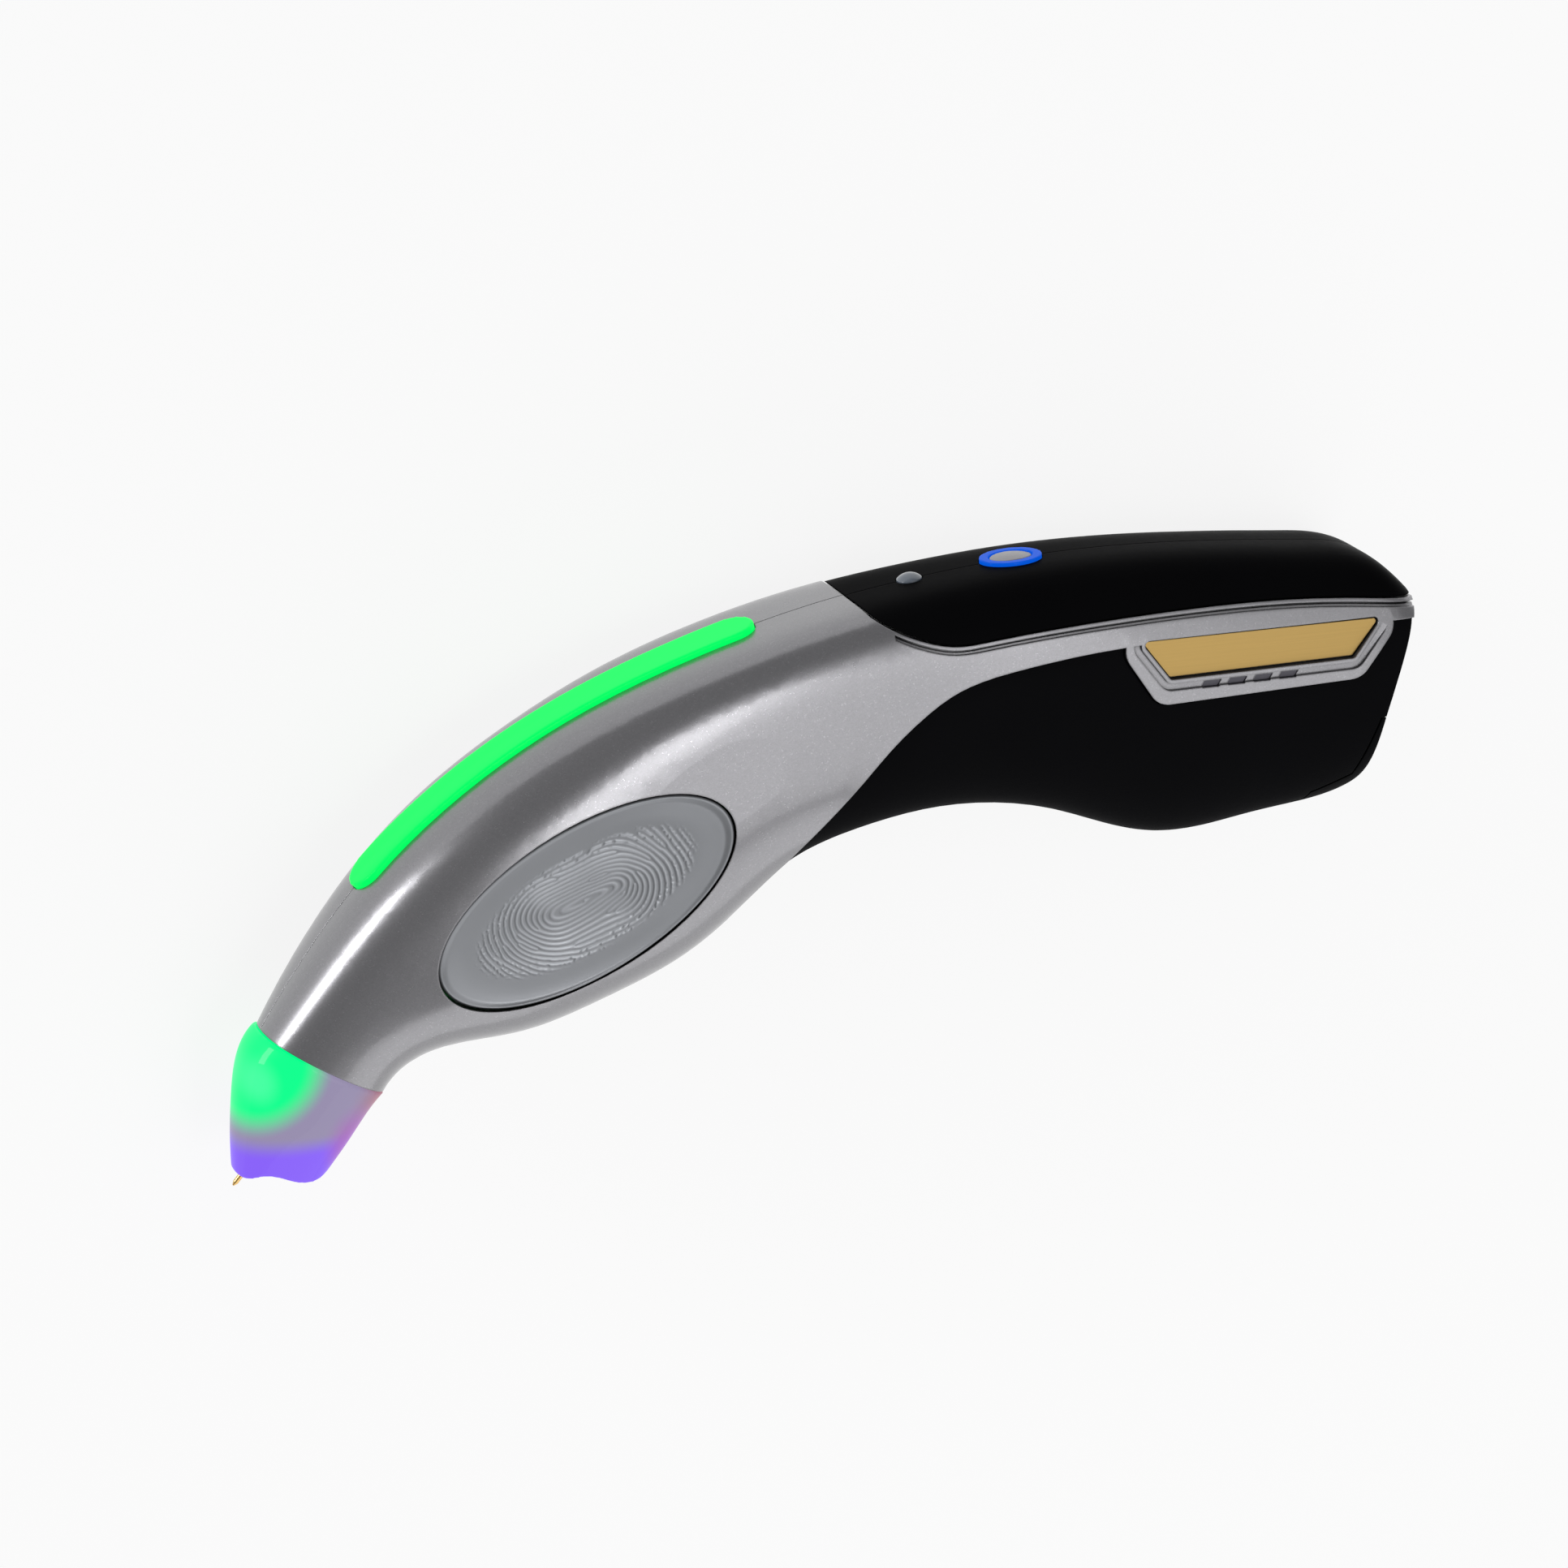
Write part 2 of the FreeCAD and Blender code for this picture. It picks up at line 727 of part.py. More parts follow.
def left_shell(body, outer, cavity):
    """Silver half: front casing, rail along the handle and bezel, in one moulding."""
    skin = outer.cut(cavity)
    silver = skin.cut(through(cover_face(0.0))).cut(through(grip_face(0.0)))
    silver = silver.fuse(skin.common(through(bezel_face()))).common(left_side())
    silver = silver.cut(groove_tool(body, rail_groove_width, rail_groove_depth))
    silver = silver.cut(groove_tool(body, rail_channel_width, rail_channel_depth))
    surface = case_width / 2
    silver = silver.cut(prism(plate_face(plate_gap), surface - plate_sink - plate_thickness, case_width))
    ridge_groove = plate_face(ridge_width + ridge_groove_width).cut(plate_face(ridge_width))
    ridge_groove = prism(ridge_groove, surface - ridge_groove_depth, case_width)
    silver = silver.cut(ridge_groove.common(through(grip_face(0.0))))
    for face in slot_faces():
        silver = silver.cut(prism(face, surface - slot_depth, case_width))
    silver = silver.cut(prism(pad_face(0.0), 0.0, case_width))
    return silver.cut(bar_zone(body, bar_gap)).cut(hatch_window(0.0))


def slot_strip():
    """Dark floor pieces of the bezel's slots."""
    low = case_width / 2 - slot_depth
    return Part.makeCompound([prism(face, low, low + insert_thickness) for face in slot_faces(-part_gap)])


def nameplate():
    low = case_width / 2 - plate_sink - plate_thickness
    return prism(plate_face(), low, low + plate_thickness)


def left_top_cover(body, cavity, holes):
    """Black cover over the crest of the handle."""
    cover = body.half(cover_sink).cut(cavity).common(through(cover_face(panel_gap)))
    return cover.common(left_side()).cut(holes)


def cover_holes(frame, indicator_frame):
    """Holes for the power ring and the indicator, on the seam of the covers."""
    seat = ring_seat() + part_gap
    grow = 2 * indicator_gap
    hole = ellipse_prism(frame, ring_length + grow, ring_width + grow, -seat, cut_overrun)
    point, normal = indicator_frame[::2]
    return hole.fuse(rod(point - normal * seat, normal, cut_overrun, indicator_radius + indicator_gap))


def left_grip(body, cavity, door_zone):
    """Black grip under the rail, open where the battery door sits."""
    grip = body.half(grip_sink).cut(cavity).common(through(grip_face(panel_gap)))
    clear_bezel = through(bezel_face().makeOffset2D(panel_gap))
    return grip.cut(clear_bezel).common(left_side()).cut(door_zone)


def battery_door(body, cavity, zone):
    """Corner hatch with the plate that closes the handle's rear face."""
    half = body.half(grip_sink).cut(cavity).common(zone)
    return half.fuse(mirrored(half)).removeSplitter()


def door_zone(gap):
    return through(hatch_face(gap)).fuse(hatch_window(gap))


def behind_rear_wall(body, depth):
    """Space behind a plane that lies inside the handle's rear face by a depth."""
    crest, belly = body.crest.value(1.0), body.belly.value(1.0)
    upward = (crest - belly).normalize()
    outward = upward.cross(ACROSS)
    high = crest + upward * cut_overrun - outward * depth
    low = belly - upward * cut_overrun - outward * depth
    return through(polygon_face([low, high, high + outward * cut_overrun, low + outward * cut_overrun]))


def screw_spots():
    """Places of the case screws. The last one stands just ahead of the battery tray."""
    tray_front = cell_spots()[0].x - tray_front_length() - boss_radius - boss_gap
    front = V(tray_front, front_screw_share * tool_height, 0)
    return [at(share) for share in screw_shares] + [front]


def screw_seats(outer):
    """Places of the case screws, with the distance of each seat from the mid-plane."""
    seats = []
    for spot in screw_spots():
        across = Part.makeLine(spot, spot + ACROSS * case_width).common(outer)
        seats.append((spot, min(across.Length, case_width / 2) - screw_depth))
    return seats


def left_boss(spot, half_gap, room):
    """Screw boss of the left half, with its pilot hole."""
    boss = rod(spot + ACROSS * half_gap, ACROSS, case_width, boss_radius_left).common(room)
    return boss, rod(spot, ACROSS, screw_bite + pilot_gap, screw_shaft_radius + pilot_gap)


def right_boss(spot, seat, half_gap, room):
    """Screw boss of the right half, with the hole and recess of the screw."""
    down = ACROSS * -1
    boss = rod(spot + down * half_gap, down, case_width, boss_radius).common(room)
    hole = rod(spot, down, case_width, screw_shaft_radius + pilot_gap)
    recess = rod(spot + down * seat, down, case_width, screw_head_radius + recess_gap)
    return boss, hole.fuse(recess)


def case_screw(spot, seat):
    """Cross-slotted screw, driven from the right side."""
    seat_centre = spot - ACROSS * seat
    head = rod(seat_centre - ACROSS * screw_head_height, ACROSS, screw_head_height, screw_head_radius)
    for length, width in ((screw_slot_length, screw_slot_width), (screw_slot_width, screw_slot_length)):
        head = head.cut(Part.makeBox(length, width, screw_slot_depth,
                                     seat_centre - V(length / 2, width / 2, screw_head_height)))
    return head.fuse(rod(seat_centre, ACROSS, seat + screw_bite, screw_shaft_radius))


def with_bosses(left, right, seats, half_gap, room):
    """Both halves with their screw bosses and holes."""
    for spot, seat in seats:
        boss, hole = left_boss(spot, half_gap, room)
        left = left.fuse(boss).cut(hole)
        boss, hole = right_boss(spot, seat, half_gap, mirrored(room))
        right = right.fuse(boss).cut(hole)
    return left, right


def nose_lens(body, nose, probe):
    """Frosted nose: hollow bill with a rim and a lip that plugs into the body."""
    tip_line = smooth_line(tip_shares, V(0, 0, 0))
    outer = nose.full(0.0).cut(through(below(tip_line)))
    inner_line = smooth_line(tip_shares, V(0, tip_wall, 0))
    inner = nose.full(nose_wall, 0.0, 1.0).cut(through(below(inner_line)))
    rim = nose.full(nose_wall / 2, 0.0, nose_rim_share)
    lip = core_disc(body, lip_inset(), -2 * nose_gap, 2 * nose_gap + nose_lip_length)
    bore = core_disc(body, lip_inset() + nose_lip_wall, -nose_bore_reach, 2 * nose_bore_reach)
    start, direction = probe
    pin_hole = rod(start, direction, tool_height / 4, pin_radius + pin_gap)
    contact_hole = rod(contact_spot(), V(0, 1, 0), contact_length, contact_radius + contact_gap)
    return outer.cut(inner).fuse([rim, lip]).cut([bore, pin_hole, contact_hole])


def lip_inset():
    """Depth of the lip's outer face below the body's surface."""
    return shell_wall + nose_lip_gap


def below(line):
    """Face below an outline's edge."""
    first, last = end_points(line)
    floor = V(0, -tool_height, 0)
    return closed_face([line], [last, last + floor, first + floor, first])


def joint_frame(body):
    """Centre of the nose joint, the way towards the body, and the crest's side."""
    crest, belly = body.crest.value(0), body.belly.value(0)
    upward = (crest - belly).normalize()
    return (crest + belly) * 0.5, upward.cross(ACROSS), upward


def core_disc(body, inset, low, thickness):
    """Disc with the joint's outline set in, square to the joint's axis."""
    inward = joint_frame(body)[1]
    curve = Part.BSplineCurve()
    curve.interpolate(Points=body.ring(0.0, inset)[:-1], PeriodicFlag=True)
    return Part.Face(Part.Wire(curve.toShape())).extrude(inward * thickness).translated(inward * low)


def core_inset():
    """Depth of the core's edge below the body's surface."""
    return lip_inset() + nose_lip_wall + core_gap


def nose_core(body, probe):
    """Carrier disc inside the lip, which holds the probe's barrel."""
    start, direction = probe
    hole = rod(start, direction, tool_height, barrel_radius)
    return core_disc(body, core_inset(), core_lift, core_thickness).cut(hole)


def nose_led_board(body, probe):
    start, direction = probe
    hole = rod(start, direction, tool_height, barrel_radius + pin_gap)
    low = core_lift - part_gap - nose_board_thickness
    return core_disc(body, core_inset(), low, nose_board_thickness).cut(hole)


def nose_lamps(body):
    """Lamps that light the nose, in a row across the board."""
    centre, inward, upward = joint_frame(body)
    low = core_lift - part_gap - nose_board_thickness
    half = lamp_side / 2
    frame = (centre + inward * low + upward * nose_lamp_lift, upward, inward * -1)
    lamp = frame_box(frame, half, half, 0.0, lamp_height, lamp_side)
    reach = (body.form.value(0).x - core_inset()) * nose_lamp_row_share - half
    beside = int(reach / (lamp_side + lamp_spacing))
    return Part.makeCompound([lamp.translated(ACROSS * (reach * index / max(beside, 1)))
                              for index in range(-beside, beside + 1)])


def contact_spot():
    return at(contact_share) - V(0, contact_proud, 0)


def nose_contact():
    """Metal sensing contact in the saddle of the nose's edge."""
    return rod(contact_spot(), V(0, 1, 0), contact_length, contact_radius)


def probe_line():
    """Tip of the probe and its direction into the nose."""
    start = at(tip_share)
    return start, (at(aim_share) - start).normalize()


def along_probe(distance):
    start, direction = probe_line()
    return start + direction * distance, direction


def probe_tip():
    """Sprung pin with a pointed end and a collar in the barrel."""
    start, direction = probe_line()
    point = Part.makeCone(pin_point_radius, pin_radius, pin_point, start, direction)
    pin = rod(start + direction * pin_point, direction, pin_length - pin_point, pin_radius)
    collar = rod(start + direction * pin_length, direction, collar_length, collar_radius)
    return point.fuse([pin, collar])


def probe_sleeve():
    start, direction = along_probe(sleeve_start)
    return tube(start, direction, sleeve_length, sleeve_radius, pin_radius + pin_gap)


def probe_barrel():
    """Barrel that guides the collar and holds the spring."""
    start, direction = along_probe(barrel_start)
    barrel = rod(start, direction, barrel_length, barrel_radius)
    chamber = rod(start + direction * barrel_cap, direction, barrel_length - 2 * barrel_cap,
                  barrel_radius - barrel_wall)
    return barrel.cut(chamber).cut(rod(start, direction, barrel_cap * 2, pin_radius + pin_gap))


def probe_spring():
    start, direction = along_probe(pin_length + collar_length + spring_gap)
    length = barrel_start + barrel_length - barrel_cap - spring_gap * 2 - pin_length - collar_length
    return tube(start, direction, length, spring_radius, spring_bore)


def main_board(body):
    """Circuit board on the mid-plane, following the casing's outline."""
    half = body.half(board_inset, *board_place_shares)
    face = min(half.Faces, key=lambda item: abs(item.CenterOfMass.z))
    board = face.extrude(ACROSS * (board_thickness / 2))
    board = board.fuse(mirrored(board)).removeSplitter()
    for spot in screw_spots():
        hole = rod(spot - ACROSS * board_thickness, ACROSS, board_thickness * 2, screw_shaft_radius + recess_gap)
        board = board.cut(hole)
    return board


def board_chips():
    """Processor and smaller chips on the left face of the board."""
    chips = []
    for share, (length, width) in zip(chip_shares, chip_sizes):
        centre = at(share, board_thickness / 2 + part_gap)
        chips.append(Part.makeBox(length, width, chip_height, centre - V(length / 2, width / 2, 0)))
    return Part.makeCompound(chips)


def buzzer():
    """Sounder on the board, with a hole in its face."""
    centre = at(buzzer_share, -board_thickness / 2 - part_gap)
    body = rod(centre, ACROSS * -1, buzzer_height, buzzer_radius)
    return body.cut(rod(centre - ACROSS * buzzer_height, ACROSS, buzzer_height / 2, buzzer_radius / 4))


def pad_contacts(body):
    """Spring fingers that join the finger pads to the board."""
    low = board_thickness / 2 + part_gap
    centre = at(pad_share, low)
    left = rod(centre, ACROSS, case_width, finger_radius).common(body.half(pad_thickness + part_gap))
    return Part.makeCompound([left, mirrored(left)])


def cell_spots():
    """Front ends of the lower and upper cell. Their rear ends stay by the door."""
    lower = at(lower_cell_rear_share) - V(cell_length + cell_nub_length, 0, 0)
    return lower, lower + V(cell_stagger, cell_rise(), 0)


def cell_rise():
    """Height of the upper cell's axis over the lower one's."""
    return 2 * cell_radius + cell_between


def tray_front_length():
    """Distance from a cell's front end to the front of the tray."""
    return tray_end + contact_plate_length + part_gap


def battery_cells():
    """Two cells side by side, in opposite directions."""
    lower, upper = cell_spots()
    along = V(1, 0, 0)
    first = rod(lower + along * cell_nub_length, along, cell_length, cell_radius)
    first = first.fuse(rod(lower, along, cell_nub_length, cell_nub_radius))
    second = rod(upper, along, cell_length, cell_radius)
    second = second.fuse(rod(upper + along * cell_length, along, cell_nub_length, cell_nub_radius))
    return Part.makeCompound([first, second])


def battery_tray(room):
    """Open cradle of two troughs with end walls."""
    along = V(1, 0, 0)
    length = cell_length + cell_nub_length
    bore = cell_radius + cell_gap
    front = tray_front_length()
    shell = None
    for spot in cell_spots():
        trough = rod(spot - along * front, along, length + front, bore + tray_wall)
        shell = trough if shell is None else shell.fuse(trough)
    for spot in cell_spots():
        shell = shell.cut(rod(spot - along * (front - tray_end), along, tool_length, bore))
    lower, upper = cell_spots()
    top = upper.y + cell_radius + cell_gap / 2
    shell = shell.cut(Part.makeBox(tool_length, tool_height, case_width, V(0, top, -case_width / 2)))
    window = Part.makeBox(length - 2 * cell_radius, cell_rise() + cell_radius, case_width,
                          V(upper.x + cell_radius, lower.y - cell_radius / 2, tray_window))
    return shell.cut(window).common(room)


def battery_contacts():
    """Sprung plates at the front ends of the cells."""
    along = V(1, 0, 0)
    plates = []
    for spot in cell_spots():
        start = spot - along * (contact_plate_length + part_gap / 2)
        plates.append(Part.makeCone(contact_plate_radius, contact_plate_top,
                                    contact_plate_length, start, along))
    return Part.makeCompound(plates)


def door_contacts(body):
    """Contacts that stand on the door's inner face and reach the cells."""
    along = V(1, 0, 0)
    inner = body.full(shell_wall, 0.0, 1.0 - rear_wall_share).cut(behind_rear_wall(body, rear_wall))
    posts = []
    for spot in cell_spots():
        start = spot + along * (cell_length + cell_nub_length + part_gap)
        posts.append(rod(start, along, tool_length, door_post_radius).common(inner))
    return Part.makeCompound(posts)


def build():
    """All pieces by name, in the design frame."""
    body = Loft(body_sections())
    nose = Loft(nose_sections(body))
    probe = probe_line()
    outer = body.half(0.0)
    cavity = body.half(shell_wall, 0.0, 1.0 - rear_wall_share).cut(behind_rear_wall(body, rear_wall))
    room = body.half(shell_wall / 2, 0.0, 1.0)
    inside = body.full(shell_wall + inner_clearance, 0.0, 1.0 - 2 * rear_wall_share)
    inside = inside.cut(behind_rear_wall(body, rear_wall + inner_clearance))
    button_frame = body.frame(button_place_share)
    indicator_frame = body.frame(indicator_place_share)
    holes = cover_holes(button_frame, indicator_frame)
    zone = door_zone(0.0)

    shell = left_shell(body, outer, cavity)
    grip = left_grip(body, cavity, zone)
    cover = left_top_cover(body, cavity, holes)
    pad = finger_pad(body)

    seats = screw_seats(outer)
    half_gap = board_thickness / 2 + boss_gap
    shell_left, shell_right = with_bosses(shell, mirrored(shell), seats[:shell_screw_count], half_gap, room)
    grip_left, grip_right = with_bosses(grip, mirrored(grip), seats[shell_screw_count:], half_gap, room)

    return {
        "left_shell": shell_left,
        "right_shell": shell_right,
        "left_top_cover": cover,
        "right_top_cover": mirrored(cover),
        "left_grip": grip_left,
        "right_grip": grip_right,
        "left_finger_pad": pad,
        "right_finger_pad": mirrored(pad),
        "left_nameplate": nameplate(),
        "right_nameplate": mirrored(nameplate()),
        "left_slot_strip": slot_strip(),
        "right_slot_strip": mirrored(slot_strip()),
        "light_bar": light_bar(body),
        "bar_board": bar_board(body),
        "bar_lamps": bar_lamps(body),
        "power_ring": power_ring(button_frame),
        "power_button": power_button(button_frame),
        "switch_plunger": switch_plunger(button_frame),
        "power_switch": power_switch(button_frame),
        "button_board": button_board(button_frame, inside),
        "ring_lamps": board_lamps(button_frame, indicator_frame),
        "indicator_lens": indicator_lens(indicator_frame),
        "nose_lens": nose_lens(body, nose, probe),
        "nose_core": nose_core(body, probe),
        "nose_board": nose_led_board(body, probe),
        "nose_lamps": nose_lamps(body),
        "nose_contact": nose_contact(),
        "probe_tip": probe_tip(),
        "probe_sleeve": probe_sleeve(),
        "probe_barrel": probe_barrel(),
        "probe_spring": probe_spring(),
        "main_board": main_board(body),
        "board_chips": board_chips(),
        "buzzer": buzzer(),
        "pad_contacts": pad_contacts(body),
        "battery_tray": battery_tray(inside),
        "battery_cells": battery_cells(),
        "battery_contacts": battery_contacts(),
        "battery_door": battery_door(body, cavity, door_zone(door_gap)),
        "door_contacts": door_contacts(body),
        "case_screws": Part.makeCompound([case_screw(spot, seat) for spot, seat in seats]),
    }


def origin_of(pieces):
    """Middle of the tool's outline, at the level of its right flank."""
    box = Part.makeCompound(list(pieces.values())).optimalBoundingBox(False, False)
    return V((box.XMin + box.XMax) / 2, (box.YMin + box.YMax) / 2, -case_width / 2)


def main():
    os.makedirs("parts", exist_ok=True)
    pieces = build()
    shift = origin_of(pieces) * -1
    for name, shape in pieces.items():
        shape.translated(shift).exportStep("parts/" + name + ".step")
    print("origin", [round(value, 3) for value in shift])


main()
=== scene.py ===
import json
import math

import bpy
import numpy as np
from bpy.props import FloatProperty, FloatVectorProperty, PointerProperty
from mathutils import Matrix, Vector
from mathutils.bvhtree import BVHTree

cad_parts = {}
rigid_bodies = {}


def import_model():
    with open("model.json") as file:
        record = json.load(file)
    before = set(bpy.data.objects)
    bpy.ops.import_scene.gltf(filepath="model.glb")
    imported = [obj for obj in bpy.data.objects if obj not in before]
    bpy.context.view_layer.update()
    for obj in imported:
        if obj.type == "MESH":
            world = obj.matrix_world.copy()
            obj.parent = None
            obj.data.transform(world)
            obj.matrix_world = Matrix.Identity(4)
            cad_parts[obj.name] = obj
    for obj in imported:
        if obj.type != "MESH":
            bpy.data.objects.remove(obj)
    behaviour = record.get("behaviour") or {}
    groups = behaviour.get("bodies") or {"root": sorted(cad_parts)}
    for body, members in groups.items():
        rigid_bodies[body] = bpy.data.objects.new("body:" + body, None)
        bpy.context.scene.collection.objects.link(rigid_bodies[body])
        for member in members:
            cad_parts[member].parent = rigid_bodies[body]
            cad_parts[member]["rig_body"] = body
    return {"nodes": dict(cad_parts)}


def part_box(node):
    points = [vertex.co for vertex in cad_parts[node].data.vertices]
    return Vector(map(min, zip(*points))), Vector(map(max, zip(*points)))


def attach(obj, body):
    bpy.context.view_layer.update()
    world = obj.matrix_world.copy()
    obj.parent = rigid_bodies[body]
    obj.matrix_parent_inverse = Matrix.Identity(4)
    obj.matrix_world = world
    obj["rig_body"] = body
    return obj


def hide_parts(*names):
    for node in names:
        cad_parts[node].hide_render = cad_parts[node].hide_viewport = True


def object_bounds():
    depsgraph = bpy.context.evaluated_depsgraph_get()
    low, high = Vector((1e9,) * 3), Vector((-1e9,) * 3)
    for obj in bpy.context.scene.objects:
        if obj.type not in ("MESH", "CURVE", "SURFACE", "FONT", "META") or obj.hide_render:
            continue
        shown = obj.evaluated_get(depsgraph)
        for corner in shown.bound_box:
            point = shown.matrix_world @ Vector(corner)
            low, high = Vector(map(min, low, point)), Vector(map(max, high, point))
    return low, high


bl_info = {
    "name": "Electronic gold tester",
    "version": (1, 0, 0),
    "blender": (4, 5, 0),
    "location": "3D View > Sidebar > Gold tester",
    "description": "Finishes and fine shapes of a hand-held electronic gold tester",
    "category": "Add Mesh",
}

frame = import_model()
cad_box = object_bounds()

MM = 0.001
MIDDLE = (cad_box[0][2] + cad_box[1][2]) / 2
MOULDED_EDGE = 0.3 * MM
EDGE_STEPS = 5
RIDGE_ENDS = 26
PRINT_SEED = 11
SENSOR_WIDTH = 36.0
FLOOR_WHITE = 0.85
LAMP_DISTANCE = 1.6
# Each lamp's name, its power among the studio's values, its way from the aim point and its sides
LAMPS = (
    ("side_lamp", "key", (0.3, -0.88, 0.4), (2.6, 1.25)),
    ("flank_lamp", "flank", (0.37, -0.36, 1.0), (0.8, 0.74)),
    ("rear_lamp", "rear", (0.7, 0.14, 1.0), (0.75, 0.8)),
    ("top_lamp", "top", (0.14, -0.03, 1.0), (0.42, 0.42)),
    ("front_lamp", "front", (-0.93, 0.36, 0.12), (0.8, 0.38)),
)


def size_property(name, description, default):
    """A length that the user can change."""
    return FloatProperty(name=name, description=description, default=default, unit="LENGTH",
                         precision=5)


def angle_property(name, description, degrees):
    """A turn, given in degrees."""
    return FloatProperty(name=name, description=description, default=math.radians(degrees),
                         subtype="ANGLE")


def power_property(name, description, default):
    """A lamp's power in watts."""
    return FloatProperty(name=name, description=description, default=default, unit="POWER")


def colour_property(name, description, default):
    """A surface colour in linear light."""
    return FloatVectorProperty(name=name, description=description, default=default,
                               subtype="COLOR", size=3, min=0.0, max=1.0)


class TesterColours(bpy.types.PropertyGroup):
    """Colours of the finishes."""

    silver: colour_property("Silver paint", "Metallic paint of the casing", (0.24, 0.237, 0.25))
    pad: colour_property("Finger pad", "Conductive grey of the finger pads", (0.2, 0.207, 0.22))
    cover: colour_property("Top cover", "Semi-gloss black of the top cover", (0.003, 0.003, 0.0034))
    grip: colour_property("Grip", "Soft black of the grip and battery door",
                          (0.0032, 0.0032, 0.0038))
    gold: colour_property("Nameplate", "Brushed gold of the nameplate", (0.38, 0.25, 0.08))
    # Painted shade: the strips behind the bezel's slots are dark grey for the shade inside the
    # slots
    slot: colour_property("Slots", "Grey at the bottom of the bezel's slots", (0.1, 0.095, 0.12))
    green: colour_property("Light bar", "Green of the lit bar", (0.0, 1.0, 0.122))
    blue: colour_property("Power ring", "Blue of the lit ring", (0.0, 0.08, 0.62))
    button: colour_property("Power button", "Grey of the button", (0.24, 0.235, 0.26))
    indicator: colour_property("Indicator", "Tint of the domed indicator", (0.1, 0.12, 0.15))
    gilt: colour_property("Gilt metal", "Gold plating of the probe", (0.72, 0.47, 0.18))
    steel: colour_property("Steel", "Plated steel of screws and springs", (0.5, 0.5, 0.52))
    nickel: colour_property("Nickel", "Nickel plate of the battery contacts", (0.62, 0.59, 0.54))
    board: colour_property("Circuit board", "Solder mask", (0.015, 0.14, 0.055))
    black: colour_property("Black parts", "Moulded black of inner parts", (0.02, 0.02, 0.022))
    white: colour_property("White parts", "Moulded white of inner parts", (0.72, 0.72, 0.7))
    lamp: colour_property("Lamps", "Clear resin of the lamps", (0.8, 0.8, 0.7))
    jacket: colour_property("Cell jacket", "Jacket of the battery cells", (0.05, 0.055, 0.06))


class TesterNose(bpy.types.PropertyGroup):
    """Glow of the frosted nose."""

    body: colour_property("Frosted body", "Colour of the unlit nose", (0.31, 0.27, 0.42))
    green: colour_property("Green glow", "Glow at the crest side", (0.0, 1.0, 0.27))
    pale: colour_property("Pale green", "Heart of the green glow", (0.07, 1.0, 0.38))
    violet: colour_property("Violet glow", "Glow at the tip", (0.25, 0.12, 0.95))
    red: colour_property("Red glow", "Glow at the belly side of the joint", (0.42, 0.15, 0.18))
    pink: colour_property("Pink glow", "Glow along the belly side", (0.4, 0.13, 0.5))
    voxel: size_property("Detail", "Size of the smallest facets", 0.2 * MM)
    green_radius: size_property("Green radius", "Reach of the full green glow", 7.0 * MM)
    fade: size_property("Fade", "Width over which a glow dies away", 4.2 * MM)


class TesterPad(bpy.types.PropertyGroup):
    """Finger pad, its dish and the print relief in it."""

    length: size_property("Length", "Long axis of the pad", 41.4 * MM)
    width: size_property("Width", "Short axis of the pad", 20.6 * MM)
    turn: angle_property("Turn", "Turn of the long axis from the X axis", 27.3)
    dish_length: size_property("Dish length", "Half the long axis of the ball that hollows the pad",
                               25.375 * MM)
    dish_width: size_property("Dish width", "Half the short axis of that ball", 12.375 * MM)
    dish_height: size_property("Dish height", "Half the height of that ball", 2.25 * MM)
    dish_lift: size_property("Dish lift", "Height of the ball's centre over the flank", 0.2 * MM)
    roll: angle_property("Roll", "Turn of the dish about the tool's length", 4.9)
    pitch: angle_property("Pitch", "Turn of the dish about the crest's way", -1.8)
    step: size_property("Grid", "Distance between points of the relief", 0.11 * MM)
    edge: size_property("Edge", "Radius of the rounded edge", 0.35 * MM)
    soft: size_property("Dish edge", "Rounding of the dish's edge", 0.45 * MM)
    skirt: size_property("Skirt", "Height of the pad's side", 2.0 * MM)
    ridge_pitch: size_property("Ridge pitch", "Distance between two ridges at the middle",
                               0.46 * MM)
    relief: size_property("Ridge height", "Height of the ridges", 0.06 * MM)
    print_length: size_property("Print length", "Long axis of the print", 31.0 * MM)
    print_width: size_property("Print width", "Short axis of the print", 14.0 * MM)


class TesterStudio(bpy.types.PropertyGroup):
    """Camera, floor and lamps."""

    turn: angle_property("Camera turn", "Turn of the view about the tool's height", 20)
    tilt: angle_property("Camera tilt", "Tilt of the view towards the crest", 18)
    distance: size_property("Distance", "Distance from the camera to the aim point", 0.6639)
    lens: FloatProperty(name="Lens", description="Focal length in millimetres", default=120.0)
    aim: FloatVectorProperty(name="Aim point", description="Point at the middle of the view",
                             default=(-0.00504, 0.008596, 0.01275), subtype="XYZ", size=3)
    floor: size_property("Floor", "Side of the square floor", 6.0)
    key: power_property("Side lamp", "Power of the large lamp on the belly's side", 12.5)
    flank: power_property("Flank lamp", "Power of the lamp over the flank", 2.7)
    rear: power_property("Rear lamp", "Power of the lamp over the handle", 1.5)
    top: power_property("Top lamp", "Power of the lamp overhead", 3.2)
    front: power_property("Front lamp", "Power of the low lamp before the nose", 14.0)
    sky: FloatProperty(name="Sky", description="Strength of the even light all round", default=0.35)


